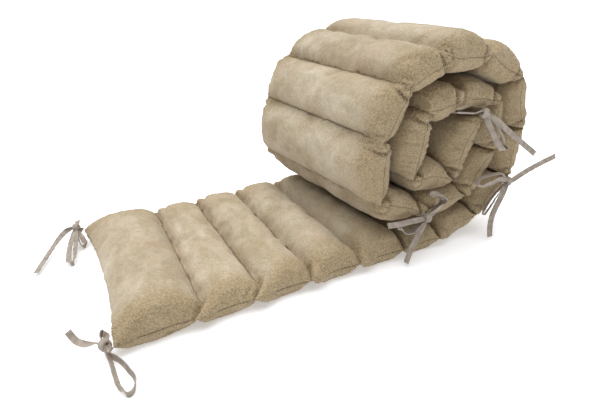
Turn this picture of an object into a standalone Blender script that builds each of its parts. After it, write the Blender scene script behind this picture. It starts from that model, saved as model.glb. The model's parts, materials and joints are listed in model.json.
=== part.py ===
"""A crib bumper, partly unrolled: one long padded strip of plush with 24 sewn channels, lying flat at
its free end and rolled up twice at the other, and the eight bows of tape that tie it to a cot.

The strip is worked out in sections across the width. In each one, the channel seams are the corners of
an open spiral, and every channel between two seams puffs out on both sides of the straight line that
joins them, no further than halfway to the next layer and never below the surface it lies on.
Metres, +Z up, the near edge towards -Y, the origin under the middle of the strip.
"""

from typing import NamedTuple

import bmesh
import bpy
import numpy as np

MM = 0.001

# The strip
WIDTH = 300 * MM
SEAM_HALF = 1.8 * MM  # half the thickness where the two plush cloths are stitched together
LAYER_GAP = 0.9 * MM  # half the air left between two layers of the roll
NEAR_ROUNDING = 36 * MM  # how far in from the near edge the channels reach their full height
FAR_ROUNDING = 60 * MM
EDGE_DRAW = 2 * MM  # how far the filling draws the long edges in between two seams
END_DRAW = 10 * MM  # and the short ones, between their corners
HOOK_REACH = 9 * MM  # how far in from the near edge a channel seam bends aside
FLOOR = 0.0

# The grid of the solid, as fractions along a channel's chord and as distances across the strip
CHORD_STEPS = (0.0, 0.07, 0.22, 0.5, 0.78, 0.93)
WIDTH_STEPS = tuple(y * MM for y in (0, 4, 11, 22, 40, 85, 150, 215, 255, 280, 294, 300))
HEIGHT_STEPS = 60
MOST_HEIGHT = 60 * MM


class Seam(NamedTuple):
    """A channel seam, in millimetres: its near end in the roll's section, seen from the near side with
    x along the tail and z up, how far its far end and its hooked part lie off in x, and the crowns of
    the channel that follows it. The inner cloth is the tail's top. The outer one is under the tail."""

    x: float
    z: float
    far_x: float
    hook: float
    inner_crown: float
    outer_crown: float


SEAMS = (
    Seam(0, 17, -5, 0, 34, 26),
    Seam(98.5, 18, 4, 8, 22, 26),
    Seam(176, 18, -4, 8, 26, 26),
    Seam(253.6, 18, -4, 3, 29, 26),
    Seam(331.1, 18, -4, 2, 30, 26),
    Seam(408.6, 18, -8, 2, 30, 26),
    Seam(476.3, 16.4, -14, 0, 31, 26),
    Seam(547.4, 37.9, -20, 0, 31, 26),
    Seam(604, 90.6, -25, 0, 31, 26),
    Seam(617.6, 167.4, -25, 0, 31, 26),
    Seam(595.8, 245.6, -25, 0, 31, 29),
    Seam(527.2, 283.3, -25, 0, 31, 30),
    Seam(455, 285.9, -24, 0, 31, 27),
    Seam(392.5, 255.8, -22, 0, 31, 26),
    Seam(358, 190.7, -27, 0, 31, 26),
    Seam(359.4, 100.5, -36, 0, 31, 26),
    Seam(431, 72, -34, 0, 31, 26),
    Seam(516.5, 79.1, -30, 0, 31, 26),
    Seam(564.7, 142.2, -28, 0, 31, 26),
    Seam(558.2, 218.3, -27, 0, 31, 26),
    Seam(487.3, 232.3, -26, 0, 31, 26),
    Seam(424.6, 219.5, -27, 0, 31, 26),
    Seam(411.3, 126.7, -30, 0, 31, 26),
    Seam(488.3, 111.1, -30, 0, 31, 26),
    Seam(525.6, 199, -28, 0, 0, 0),
)


# The bows
TAPE_WIDTH = 8 * MM
TAPE_THICKNESS = 1.4 * MM
SAMPLE = 0.5 * MM  # the spacing of the fine line that a tape's solid is worked out on
BLUR = 5  # samples
EASY_BEND = 12 * MM  # a tape that bends no tighter than this keeps the turn its route gives
TAPE_STEP = 24 * MM  # the longest straight piece of a tape's solid
BEND_STEP = 0.8  # and the most it bends and twists, in radians, from one piece to the next
SHARED = 1.5 * MM  # how much of a loop its two stretches share
STRAND_STEP = 0.03  # how much thinner each next stretch is, so that no two share a face where they join
KNOT_HEART = 0.5  # the part of the knot, as a share of its radii, that holds no stretch of tape
KNOT_RADII = (6.6 * MM, 5.6 * MM, 7 * MM)
KNOT_DETAIL = 1
SLIVER = 0.01 * MM  # a union's points closer than this become one


class Place(NamedTuple):
    """A point on a tape's route, in millimetres from the corner it is sewn to: along the strip, out
    from its edge and up. The turn, in degrees, is 0 where the tape faces the viewer and 90 edge on."""

    along: float
    out: float
    up: float
    turn: float


class Bow(NamedTuple):
    """Two tapes sewn in at one corner, each with a loop or a folded end and a free end, and their knot.
    facing is the way their flat sides look where the turn is 0: along, out and up."""

    facing: tuple
    knot: tuple
    tapes: tuple


BOW_ON_THE_FLOOR_NEAR = Bow(
    facing=(-0.3, 0.75, 0.6),
    knot=(-7, -9, 0),
    tapes=(
        (
            Place(-2.6, 2.1, 0, 0),
            Place(-6.4, -9.5, 0.4, 10),
            Place(-5, 1, -4, 20),
            Place(0, 8, -7, 35),
            Place(5, 16, -8, 35),
            Place(10, 30, -9, 35),
            Place(14, 43, -11, 45),
            Place(13, 53, -11.5, 70),
            Place(9, 60, -12, 90),
            Place(4, 61, -12, 90),
            Place(0, 54, -12, 85),
            Place(-3, 42, -11, 85),
            Place(-4, 28, -10, 85),
            Place(-5, 12, -8, 85),
            Place(-6, 0, -4, 70),
            Place(-7.8, -8, -0.9, 60),
            Place(-13, -17, -2, 85),
            Place(-20, -23, -4, 70),
            Place(-28, -30, -6, 30),
            Place(-36, -38, -4, 10),
            Place(-42, -48, 4, 5),
        ),
        (
            Place(-2.5, 2, -1.6, 0),
            Place(-6.1, -7.6, 1.3, 10),
            Place(-4, -15, 5, 0),
            Place(-3, -21, 7, 40),
            Place(-6, -25, 6, 90),
            Place(-10, -20, 4, 60),
            Place(-8, -11, 1, 30),
            Place(-6, -2, -5, 20),
            Place(-4, 5, -9, 10),
        ),
    ),
)

BOW_ON_THE_FLOOR_FAR = Bow(
    facing=(-0.41, -0.8, 0.45),
    knot=(-9, 3, 5),
    tapes=(
        (
            Place(-0.9, 0.8, -0.7, 0),
            Place(-8.4, 2.5, 5.4, 0),
            Place(-11, -4, 3, 0),
            Place(-13, -24, -2, 0),
            Place(-17, -47, -7, -10),
            Place(-20, -67, -10, -30),
            Place(-24, -78, -11, -80),
            Place(-28, -69, -11, -30),
            Place(-26, -47, -8, -10),
            Place(-21, -25, -4, 0),
            Place(-14, -6, 2, 0),
            Place(-9.8, 4, 4.1, 0),
            Place(-19, 7, 4, 0),
            Place(-30, 2, 0, -5),
            Place(-41, -10, -5, -10),
            Place(-56, -40, -9, -5),
            Place(-72, -76, -12, -5),
        ),
        (
            Place(-2.5, 2, -1.6, 0),
            Place(-8.1, 4.4, 6.3, -20),
            Place(-10, -7, 0, -60),
            Place(-9, -20, -6, -50),
            Place(-7, -32, -11, -60),
            Place(-4, -34, -11, -60),
            Place(-2, -27, -9, -50),
            Place(-5, -13, -3, -60),
            Place(-9.6, 1.8, 3.5, -40),
            Place(-7, 10, 8, 0),
            Place(-5, 18, 10, 0),
        ),
    ),
)

BOW_WITH_HANGING_END = Bow(
    facing=(-0.41, 0.8, 0.45),
    knot=(-8, 7, -3),
    tapes=(
        (
            Place(-0.6, 1.2, 0, 0),
            Place(-7.4, 6.5, -2.6, 30),
            Place(-20, 8, 9, 40),
            Place(-33, 9, 16, 60),
            Place(-55, 10, 19, 65),
            Place(-73, 10, 17, 70),
            Place(-82, 11, 12, 90),
            Place(-73, 12, 6, 60),
            Place(-56, 13, 6, 40),
            Place(-34, 12, 8, 40),
            Place(-18, 9, 2, 40),
            Place(-8.8, 8, -3.9, 30),
            Place(3, 8, -2, 10),
            Place(17, 10, 5, 15),
            Place(36, 13, 13, 20),
            Place(56, 16, 20, 20),
            Place(76, 20, 27, 20),
        ),
        (
            Place(-1, 1.5, -1.6, 0),
            Place(-7.1, 8.4, -1.7, 30),
            Place(-19, 6, -11, 85),
            Place(-38, 6, -26, 85),
            Place(-51, 7, -44, 85),
            Place(-50, 10, -48, 85),
            Place(-34, 10, -27, 80),
            Place(-20, 9, -11, 60),
            Place(-8.6, 5.8, -4.5, 20),
            Place(-17, 11, -11, 10),
            Place(-24, 13, -22, 10),
            Place(-35, 15, -38, 10),
            Place(-41, 16, -51, 20),
            Place(-44, 18, -66, 15),
            Place(-43, 19, -80, 15),
            Place(-42, 20, -86, 10),
        ),
    ),
)

BOW_BETWEEN_THE_LAYERS = Bow(
    facing=(-0.41, 0.8, 0.45),
    knot=(6, 7, -6),
    tapes=(
        (
            Place(0, 1.5, 0, 0),
            Place(6.6, 6.5, -5.6, 40),
            Place(10, 11, 1, 55),
            Place(18, 14, 9, 60),
            Place(26, 15, 15, 65),
            Place(29, 15, 21, 80),
            Place(23, 14, 28, 80),
            Place(13, 12, 33, 85),
            Place(8, 8, 31, 90),
            Place(15, 5, 28, 85),
            Place(26, 5, 22, 80),
            Place(32, 5, 15, 80),
            Place(28, 5, 9, 65),
            Place(20, 5, 3, 60),
            Place(12, 5, -4, 60),
            Place(5.2, 8, -6.9, 40),
            Place(-8, 9, -4, 25),
            Place(-26, 11, -1, 25),
            Place(-48, 12, 1, 20),
            Place(-69, 12, 4, 10),
        ),
        (
            Place(0, 1.5, -1.6, 0),
            Place(6.9, 8.4, -4.7, 30),
            Place(-7, 8, -12, 60),
            Place(-16, 9, -17, 50),
            Place(-26, 10, -20, 40),
            Place(-36, 10, -16, 60),
            Place(-45, 9, -8, 90),
            Place(-37, 6, -7, 80),
            Place(-20, 6, -9, 80),
            Place(-4, 6, -8, 60),
            Place(5.4, 5.8, -7.5, 30),
            Place(-2, 10, -12, 10),
            Place(-10, 12, -22, 10),
            Place(-18, 13, -34, 10),
            Place(-25, 14, -45, 15),
            Place(-33, 15, -66, 40),
        ),
    ),
)

BOW_IN_THE_CORE = Bow(
    facing=(-0.41, 0.8, 0.45),
    knot=(-5, 6, 8),
    tapes=(
        (
            Place(0, 1.1, 0, 43),
            Place(-1, 3.4, 2.4, 35),
            Place(-4.4, 5.5, 8.4, 20),
            Place(1, 9, -5, 20),
            Place(8, 13, -19, 10),
            Place(17, 17, -35, 10),
            Place(27, 19, -46, 40),
            Place(35, 18, -50, 80),
            Place(38, 16, -46, 40),
            Place(33, 13, -33, 40),
            Place(24, 10, -17, 40),
            Place(11, 8, -3, 40),
            Place(-5.8, 7, 7.1, 20),
            Place(9, 15, -2, 10),
            Place(28, 22, -18, 5),
            Place(51, 30, -37, 5),
            Place(76, 38, -57, 5),
        ),
        (
            Place(-1, 1.1, 1.6, 43),
            Place(-2, 3.6, 4.4, 40),
            Place(-4.1, 7.4, 9.3, 40),
            Place(-14, 5, 11, 80),
            Place(-25, 5, 10, 85),
            Place(-41, 5, 13, 85),
            Place(-59, 5, 16, 85),
        ),
    ),
)


class Sewn(NamedTuple):
    """A bow's name, the seam it is sewn to and whether that is at the near or the far edge."""

    name: str
    seam: int
    far: bool
    bow: Bow


BOWS = (
    Sewn("tie_1_near", 0, False, BOW_ON_THE_FLOOR_NEAR),
    Sewn("tie_1_far", 0, True, BOW_ON_THE_FLOOR_FAR),
    Sewn("tie_2_near", 8, False, BOW_WITH_HANGING_END),
    Sewn("tie_2_far", 8, True, BOW_BETWEEN_THE_LAYERS),
    Sewn("tie_3_near", 16, False, BOW_BETWEEN_THE_LAYERS),
    Sewn("tie_3_far", 16, True, BOW_IN_THE_CORE),
    Sewn("tie_4_near", 24, False, BOW_IN_THE_CORE),
    Sewn("tie_4_far", 24, True, BOW_WITH_HANGING_END),
)


def seam_corners(y):
    """The seams' (x, z) in the section at the distance y from the near edge."""
    table = np.array(SEAMS) * MM
    across = y / WIDTH
    x = table[:, 0] + table[:, 2] * across + table[:, 3] * (1 - np.exp(-y / HOOK_REACH))
    drawn = END_DRAW * (1 - abs(2 * across - 1) ** 2.5)
    x[0] += drawn
    corners = np.stack([x, table[:, 1]], axis=1)
    inward = corners[-2] - corners[-1]
    corners[-1] += inward / np.linalg.norm(inward) * drawn
    return corners


def distance_to_chords(points, starts, ends):
    """How far each of the points, (..., 2), is from each chord: an array (..., chords)."""
    chords = ends - starts
    offsets = points[..., None, :] - starts
    along = np.clip((offsets * chords).sum(-1) / (chords**2).sum(-1), 0, 1)
    return np.linalg.norm(offsets - along[..., None] * chords, axis=-1)


def room(bases, normals, corners, own):
    """How far a skin can rise from each base point before it is nearer to another channel's chord."""
    heights = np.linspace(0, MOST_HEIGHT, HEIGHT_STEPS)
    points = bases[:, None] + heights[:, None] * normals[:, None]
    distance = distance_to_chords(points, corners[:-1], corners[1:])
    distance[np.arange(len(bases)), :, own] = np.inf
    free = distance.min(axis=-1) >= heights + LAYER_GAP * np.minimum(1, heights / SEAM_HALF)
    blocked = np.where(free.all(axis=1), HEIGHT_STEPS, np.argmin(free, axis=1))
    return heights[np.maximum(blocked - 1, 0)]


def softer_least(a, b, sharpness=5.0):
    """The smaller of a and b, rounded off where they cross."""
    a, b = np.maximum(a, 1e-6), np.maximum(b, 1e-6)
    return (a**-sharpness + b**-sharpness) ** (-1 / sharpness)


def rounded_end(y):
    """The share of its full height that a channel has at the distance y from the near edge."""
    near = np.clip(1 - y / NEAR_ROUNDING, 0, 1)
    far = np.clip(1 - (WIDTH - y) / FAR_ROUNDING, 0, 1)
    return (1 - near**2.4) ** 0.5 * (1 - far**2.4) ** 0.5


def section(y):
    """The centre line and the two skins of the section at y: three arrays (columns, 2) of x and z."""
    corners = seam_corners(y)
    count = len(corners) - 1
    own = np.repeat(np.arange(count), len(CHORD_STEPS))
    step = np.tile(CHORD_STEPS, count)
    chords = corners[1:] - corners[:-1]
    bases = corners[own] + step[:, None] * chords[own]
    ups = np.stack([-chords[:, 1], chords[:, 0]], axis=1)
    ups /= np.linalg.norm(ups, axis=1)[:, None]
    normals = ups[own]
    seams = np.arange(1, count) * len(CHORD_STEPS)
    mean = ups[:-1] + ups[1:]
    normals[seams] = mean / np.linalg.norm(mean, axis=1)[:, None]

    taper = rounded_end(y)
    crowns = np.array(SEAMS)[own, 4:6] * MM
    puff = (1 - abs(2 * step - 1) ** 2.4) ** 0.55
    skins = []
    for crown, side in zip(crowns.T, (1.0, -1.0)):
        height = softer_least(crown * puff, room(bases, side * normals, corners, own))
        height = np.maximum(height, SEAM_HALF) * taper
        height[0] = 0
        skin = bases + side * height[:, None] * normals
        skins.append(np.vstack([skin, corners[-1]]))
    centre = np.vstack([bases, corners[-1]])
    for line in (centre, *skins):
        line[:, 1] = np.maximum(line[:, 1], FLOOR)
    return centre, *skins


def strip_points():
    """The grids of the two skins, (rows across the strip, columns along it, 3)."""
    columns = len(CHORD_STEPS) * (len(SEAMS) - 1) + 1
    step = np.append(np.tile(CHORD_STEPS, len(SEAMS) - 1), 0.0)
    pulled = EDGE_DRAW * np.sin(np.pi * step)
    inner = np.empty((len(WIDTH_STEPS), columns, 3))
    outer = np.empty_like(inner)
    for row, y in enumerate(WIDTH_STEPS):
        _, inner_line, outer_line = section(y)
        place = pulled + (WIDTH - 2 * pulled) * y / WIDTH - WIDTH / 2
        inner[row] = np.stack([inner_line[:, 0], place, inner_line[:, 1]], axis=1)
        outer[row] = np.stack([outer_line[:, 0], place, outer_line[:, 1]], axis=1)
    return inner, outer


def strip_mesh(inner, outer):
    """A closed mesh of the two skins, which share the vertices of their rim."""
    mesh = bmesh.new()
    rows, columns = inner.shape[:2]
    on_rim = np.zeros((rows, columns), bool)
    on_rim[[0, -1]] = True
    on_rim[:, [0, -1]] = True
    top = [[mesh.verts.new(inner[r, c]) for c in range(columns)] for r in range(rows)]
    under = [
        [top[r][c] if on_rim[r, c] else mesh.verts.new(outer[r, c]) for c in range(columns)]
        for r in range(rows)
    ]
    for r in range(rows - 1):
        for c in range(columns - 1):
            # The diagonals start at the strip's own corners, so that those have some thickness.
            first = 0 if (r < rows // 2) == (c < columns // 2) else 1
            for skin, way in ((top, 1), (under, -1)):
                cell = [skin[r][c], skin[r][c + 1], skin[r + 1][c + 1], skin[r + 1][c]]
                cell = cell[first:] + cell[:first]
                mesh.faces.new(cell[:3][::way])
                mesh.faces.new([cell[0], *cell[2:]][::way])
    data = bpy.data.meshes.new("bumper_body")
    mesh.to_mesh(data)
    mesh.free()
    return data


def unit(vectors):
    return vectors / np.linalg.norm(vectors, axis=-1, keepdims=True)


def blurred(rows, reach):
    """The rows' running mean over this many of them on either side."""
    padded = np.pad(rows, ((reach, reach), (0, 0)), mode="edge")
    total = np.cumsum(np.vstack([np.zeros(rows.shape[1]), padded]), axis=0)
    return (total[2 * reach + 1 :] - total[: -2 * reach - 1]) / (2 * reach + 1)


def smooth_line(points):
    """Points a tape's SAMPLE apart on a smooth curve through all the given rows of x, y, z and turn."""
    before = np.vstack([2 * points[0] - points[1], points[:-1]])
    after = np.vstack([points[1:], 2 * points[-1] - points[-2]])
    slopes = (after - before) / 2
    t = np.linspace(0, 1, 40, endpoint=False)[:, None]
    fine = [
        (2 * t**3 - 3 * t**2 + 1) * start
        + (t**3 - 2 * t**2 + t) * out
        + (3 * t**2 - 2 * t**3) * end
        + (t**3 - t**2) * into
        for start, end, out, into in zip(points, points[1:], slopes, slopes[1:])
    ]
    fine = np.vstack([*fine, points[-1:]])
    run = np.append(0, np.cumsum(np.linalg.norm(np.diff(fine[:, :3], axis=0), axis=1)))
    places = np.linspace(0, run[-1], round(run[-1] / SAMPLE) + 1)
    return np.stack([np.interp(places, run, column) for column in fine.T], axis=1)


def tape_sides(line, facing):
    """The unit vectors across a tape's width and through its thickness at each point of its line. A tape
    bends flatwise only, so where it bends, its width turns square to the bend."""
    path, turn = line[:, :3], np.radians(line[:, 3:])
    forward = unit(blurred(np.gradient(path, axis=0), BLUR))
    flat = unit(np.cross(forward, facing))
    across = np.cos(turn) * flat + np.sin(turn) * np.cross(forward, flat)
    bend = blurred(np.gradient(forward, axis=0), BLUR) / SAMPLE
    size = np.linalg.norm(bend, axis=1, keepdims=True)
    way = bend / np.maximum(size, 1e-9)
    share = np.clip(size * EASY_BEND, 0, 1) ** 2
    square = unit(np.cross(forward, way) + 1e-9)
    square *= np.where((across * square).sum(1, keepdims=True) < 0, -1, 1)
    across = blurred(unit((1 - share) * across + share * square), BLUR)
    across = unit(across - (across * forward).sum(1, keepdims=True) * forward)
    return across, np.cross(forward, across)


def outside_the_knot(path, knot):
    """The stretches of a tape's line outside the heart of its knot. A loop is two of them, which share
    a short piece, so that no stretch meets itself."""
    outside = np.append(np.linalg.norm((path - knot) / KNOT_RADII, axis=1) > KNOT_HEART, False)
    changes = np.flatnonzero(outside[1:] != outside[:-1]) + 1
    bounds = [0, *changes] if outside[0] else list(changes)
    stretches = []
    for start, end in zip(bounds[::2], bounds[1::2]):
        is_loop = start > 0 and end < len(path)
        split = start + (end - start) // 3
        shared = round(SHARED / SAMPLE)
        stretches += [(start, split + shared), (split, end)] if is_loop else [(start, end)]
    return stretches


def coarser(path, across, start, end):
    """The indices to keep of a stretch: further apart where it is straight, closer where it bends."""
    forward = unit(np.gradient(path[start:end], axis=0))
    turned = np.linalg.norm(np.diff(forward, axis=0), axis=1)
    twisted = np.linalg.norm(np.diff(across[start:end], axis=0), axis=1)
    need = np.append(0, np.cumsum(SAMPLE / TAPE_STEP + (turned + twisted) / BEND_STEP))
    count = max(2, round(need[-1]) + 1)
    kept = np.searchsorted(need, np.linspace(0, need[-1], count)).clip(0, len(need) - 1)
    return start + np.unique(kept)


def bar_mesh(name, path, across, through):
    """A closed bar along a path, with the two half sizes that its sides have at each point."""
    rings = [path + a * across + b * through for a, b in ((1, 1), (-1, 1), (-1, -1), (1, -1))]
    mesh = bmesh.new()
    corners = [[mesh.verts.new(place) for place in ring] for ring in rings]
    for here, there in zip(corners, corners[1:] + corners[:1]):
        for i in range(len(path) - 1):
            mesh.faces.new((here[i], there[i], there[i + 1], here[i + 1]))
    mesh.faces.new([ring[0] for ring in reversed(corners)])
    mesh.faces.new([ring[-1] for ring in corners])
    bmesh.ops.triangulate(mesh, faces=mesh.faces[:])
    data = bpy.data.meshes.new(name)
    mesh.to_mesh(data)
    mesh.free()
    return data


def corner_of(sewn):
    """Where the bow's corner lies, and the way its tapes' routes are turned there."""
    y = WIDTH if sewn.far else 0.0
    x, z = seam_corners(y)[sewn.seam]
    return np.array([x, y - WIDTH / 2, z]), np.array([1, 1 if sewn.far else -1, 1])


def keep_largest_shell(mesh):
    """Removes the walls of the small pockets and chips that the tapes and their knot leave in a union."""
    shells = []
    left = set(mesh.faces)
    while left:
        shell, reached = set(), [next(iter(left))]
        while reached:
            face = reached.pop()
            if face in shell:
                continue
            shell.add(face)
            for edge in face.edges:
                if len(edge.link_faces) == 2:
                    reached += edge.link_faces
        shells.append(shell)
        left -= shell
    largest = max(shells, key=len)
    bmesh.ops.delete(mesh, geom=[face for face in mesh.faces if face not in largest], context="FACES")


def joined(obj):
    """The object's mesh with its Booleans worked out, as one closed shell."""
    evaluated = obj.evaluated_get(bpy.context.evaluated_depsgraph_get())
    data = bpy.data.meshes.new_from_object(evaluated)
    mesh = bmesh.new()
    mesh.from_mesh(data)
    bmesh.ops.remove_doubles(mesh, verts=mesh.verts, dist=SLIVER)
    bmesh.ops.dissolve_degenerate(mesh, edges=mesh.edges, dist=SLIVER)
    bmesh.ops.triangulate(mesh, faces=mesh.faces[:])
    keep_largest_shell(mesh)
    mesh.to_mesh(data)
    mesh.free()
    return data


def add_bow(sewn, origin, material):
    """A bow: its knot, with both tapes joined to it."""
    corner, turned = corner_of(sewn)
    knot_place = corner + origin + turned * np.array(sewn.bow.knot) * MM
    mesh = bmesh.new()
    bmesh.ops.create_icosphere(mesh, subdivisions=KNOT_DETAIL, radius=1)
    bmesh.ops.scale(mesh, vec=KNOT_RADII, verts=mesh.verts)
    data = bpy.data.meshes.new(sewn.name)
    mesh.to_mesh(data)
    mesh.free()
    knot = add_object(sewn.name, data, knot_place)
    facing = turned * np.array(sewn.bow.facing)
    facing /= np.linalg.norm(facing)
    bars = []
    for route in sewn.bow.tapes:
        places = np.array(route, float)
        places[:, :3] = corner + origin + turned * places[:, :3] * MM
        places[:, 3] *= -turned[1]
        line = smooth_line(places)
        path = line[:, :3]
        across, through = tape_sides(line, facing)
        for start, end in outside_the_knot(path, knot_place):
            kept = coarser(path, across, start, end)
            slack = 1 - STRAND_STEP * (len(bars) % 3)
            sides = across * TAPE_WIDTH / 2 * slack, through * TAPE_THICKNESS / 2 * slack
            bar = bar_mesh("tape", path[kept], *(side[kept] for side in sides))
            bars.append(add_object("tape", bar))
    for bar in bars:
        join = knot.modifiers.new(bar.name, "BOOLEAN")
        join.operation = "UNION"
        join.solver = "MANIFOLD"
        join.object = bar
    knot.data = joined(knot)
    knot.data.materials.append(material)
    knot.modifiers.clear()
    for bar in bars:
        bpy.data.objects.remove(bar)
    return knot


def finish(name, colour, roughness):
    """A plain matt material."""
    material = bpy.data.materials.new(name)
    material.use_nodes = True
    surface = material.node_tree.nodes["Principled BSDF"]
    surface.inputs["Base Color"].default_value = (*colour, 1.0)
    surface.inputs["Roughness"].default_value = roughness
    surface.inputs["Metallic"].default_value = 0.0
    return material


def add_object(name, data, location=(0, 0, 0)):
    obj = bpy.data.objects.new(name, data)
    obj.location = location
    bpy.context.scene.collection.objects.link(obj)
    return obj


def clear_scene():
    for obj in list(bpy.data.objects):
        bpy.data.objects.remove(obj, do_unlink=True)


def main():
    clear_scene()
    inner, outer = strip_points()
    along = np.stack([inner, outer])[..., 0]
    middle = (along.min() + along.max()) / 2
    origin = np.array([-middle, 0, 0])
    body = add_object("bumper_body", strip_mesh(inner + origin, outer + origin))
    body.data.materials.append(finish("plush", (0.52, 0.43, 0.3), 0.95))
    body.data.shade_smooth()
    tape = finish("cotton_tape", (0.4, 0.35, 0.3), 0.9)
    for sewn in BOWS:
        add_bow(sewn, origin, tape)


if __name__ == "__main__":
    main()
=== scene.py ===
"""The looks of a crib bumper, partly rolled up: a long strip of plush with 24 filled channels, flat at its
free end and rolled up twice at the other, with eight bows of woven tape at its edges.

Metres, +Z up, the near edge towards -Y, the origin on the surface under the middle of the strip. Routes
and seams keep the numbers of the solid model, in millimetres.
"""

import sys

import json
import logging
from dataclasses import dataclass, field
from enum import Enum
from typing import Iterable, NamedTuple, Sequence

import bmesh
import bpy
import numpy as np
from mathutils import Matrix, Vector

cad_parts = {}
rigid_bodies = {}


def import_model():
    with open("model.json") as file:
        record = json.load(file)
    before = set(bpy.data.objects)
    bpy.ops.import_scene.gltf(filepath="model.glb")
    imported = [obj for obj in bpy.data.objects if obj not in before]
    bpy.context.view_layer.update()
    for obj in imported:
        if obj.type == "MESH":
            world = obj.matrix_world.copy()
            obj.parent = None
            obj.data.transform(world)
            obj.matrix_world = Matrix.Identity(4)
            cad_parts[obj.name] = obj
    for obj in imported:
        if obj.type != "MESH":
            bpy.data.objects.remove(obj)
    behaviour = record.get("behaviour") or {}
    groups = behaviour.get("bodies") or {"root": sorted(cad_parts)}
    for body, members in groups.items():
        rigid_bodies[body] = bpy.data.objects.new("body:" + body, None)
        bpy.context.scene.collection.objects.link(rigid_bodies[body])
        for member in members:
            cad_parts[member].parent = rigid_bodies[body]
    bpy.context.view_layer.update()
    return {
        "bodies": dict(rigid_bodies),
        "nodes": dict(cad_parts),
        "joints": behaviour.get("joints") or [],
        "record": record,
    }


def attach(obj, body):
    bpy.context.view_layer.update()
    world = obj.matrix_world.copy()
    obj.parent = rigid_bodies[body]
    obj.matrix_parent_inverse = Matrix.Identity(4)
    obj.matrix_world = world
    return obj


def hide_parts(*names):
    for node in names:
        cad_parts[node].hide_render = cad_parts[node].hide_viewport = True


LOG = logging.getLogger("crib_bumper")
MM = 0.001
BODY = "root"
MIDDLE = 314.23 * MM  # how far along the strip's table of seams the origin lies
WIDTH = 300 * MM
ROLL_START = 430 * MM  # how far along the cloth the roll starts
ROLL_BLEND = 60 * MM

Colour = tuple[float, float, float]


class Socket(Enum):
    """The sockets of a fabric shader that every finish sets."""

    COLOUR = "Base Color"
    ROUGHNESS = "Roughness"
    NORMAL = "Normal"
    SHEEN = "Sheen Weight"
    SHEEN_ROUGHNESS = "Sheen Roughness"
    SHEEN_TINT = "Sheen Tint"
    SPECULAR = "Specular IOR Level"


class Side(Enum):
    """The strip's two cloths. The value is the way each one puffs out from a channel's chord."""

    INNER = 1
    OUTER = -1


class Seam(NamedTuple):
    """A channel seam, in millimetres: its near end in the roll's section, seen from the near side with
    x along the flat end and z up, how far its far end and its hooked part lie off in x, and the crowns
    of the channel that follows it."""

    x: float
    z: float
    far_x: float
    hook: float
    inner_crown: float
    outer_crown: float


SEAMS = (
    Seam(0, 17, -5, 0, 34, 26),
    Seam(98.5, 18, 4, 8, 22, 26),
    Seam(176, 18, -4, 8, 26, 26),
    Seam(253.6, 18, -4, 3, 29, 26),
    Seam(331.1, 18, -4, 2, 30, 26),
    Seam(408.6, 18, -8, 2, 30, 26),
    Seam(476.3, 16.4, -14, 0, 31, 26),
    Seam(547.4, 37.9, -20, 0, 31, 26),
    Seam(604, 90.6, -25, 0, 31, 26),
    Seam(617.6, 167.4, -25, 0, 31, 26),
    Seam(595.8, 245.6, -25, 0, 31, 29),
    Seam(527.2, 283.3, -25, 0, 31, 30),
    Seam(455, 285.9, -24, 0, 31, 27),
    Seam(392.5, 255.8, -22, 0, 31, 26),
    Seam(358, 190.7, -27, 0, 31, 26),
    Seam(359.4, 100.5, -36, 0, 31, 26),
    Seam(431, 72, -34, 0, 31, 26),
    Seam(516.5, 79.1, -30, 0, 31, 26),
    Seam(564.7, 142.2, -28, 0, 31, 26),
    Seam(558.2, 218.3, -27, 0, 31, 26),
    Seam(487.3, 232.3, -26, 0, 31, 26),
    Seam(424.6, 219.5, -27, 0, 31, 26),
    Seam(411.3, 126.7, -30, 0, 31, 26),
    Seam(488.3, 111.1, -30, 0, 31, 26),
    Seam(525.6, 199, -28, 0, 0, 0),
)


def unit(vectors: np.ndarray) -> np.ndarray:
    """The rows' unit vectors."""
    return vectors / np.linalg.norm(vectors, axis=-1, keepdims=True)


def hump(apart: np.ndarray, width: float) -> np.ndarray:
    """1 where apart is 0, falling off to both sides as a bell curve."""
    return np.exp(-((apart / width) ** 2))


def fading(apart: np.ndarray, reach: float) -> np.ndarray:
    """1 where apart is 0, falling to about a third over each reach."""
    return np.exp(-apart / reach)


def share_rolled(along: np.ndarray) -> np.ndarray:
    """0 on the flat part of the strip and 1 in the roll."""
    return np.clip((along - ROLL_START) / ROLL_BLEND, 0, 1)


def eased(count: int, slowing: float) -> np.ndarray:
    """Fractions from 0 to 1 that lie closer together at both ends.

    Args:
        count: How many steps there are.
        slowing: 0 for even steps, towards 1 for steps that are short at the ends.

    Returns:
        count + 1 fractions.
    """
    t = np.linspace(0, 1, count + 1)
    return t - slowing * np.sin(2 * np.pi * t) / (2 * np.pi)


def waves(places: np.ndarray, shortest: float, longest: float, seed: int, count: int = 28) -> np.ndarray:
    """Smooth noise: a sum of plane waves in seeded directions.

    Args:
        places: Points, one row each, in metres.
        shortest: The shortest wavelength, in metres.
        longest: The longest one.
        seed: Fixes the directions and phases.
        count: How many waves are summed.

    Returns:
        One value a point, mostly within -1 and 1.
    """
    chance = np.random.default_rng(seed)
    ways = unit(chance.normal(size=(count, places.shape[1])))
    lengths = np.exp(chance.uniform(np.log(shortest), np.log(longest), count))
    phases = chance.uniform(0, 2 * np.pi, count)
    total = np.zeros(len(places))
    for way, length, phase in zip(ways, lengths, phases):
        total += np.sin(places @ way * (2 * np.pi / length) + phase)
    return total / np.sqrt(count)


class Waviness(NamedTuple):
    """Smooth noise of one height, with its shortest and longest wavelength in metres, and its seed."""

    height: float
    shortest: float
    longest: float
    seed: int

    def over(self, places: np.ndarray) -> np.ndarray:
        """The noise at these places."""
        return self.height * waves(places, self.shortest, self.longest, self.seed)


def place_object(name: str, mesh: bpy.types.Mesh) -> bpy.types.Object:
    """Links a mesh into the scene at the origin.

    Args:
        name: The object's name.
        mesh: Its mesh, in world places.

    Returns:
        The object.
    """
    obj = bpy.data.objects.new(name, mesh)
    bpy.context.scene.collection.objects.link(obj)
    return obj


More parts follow.
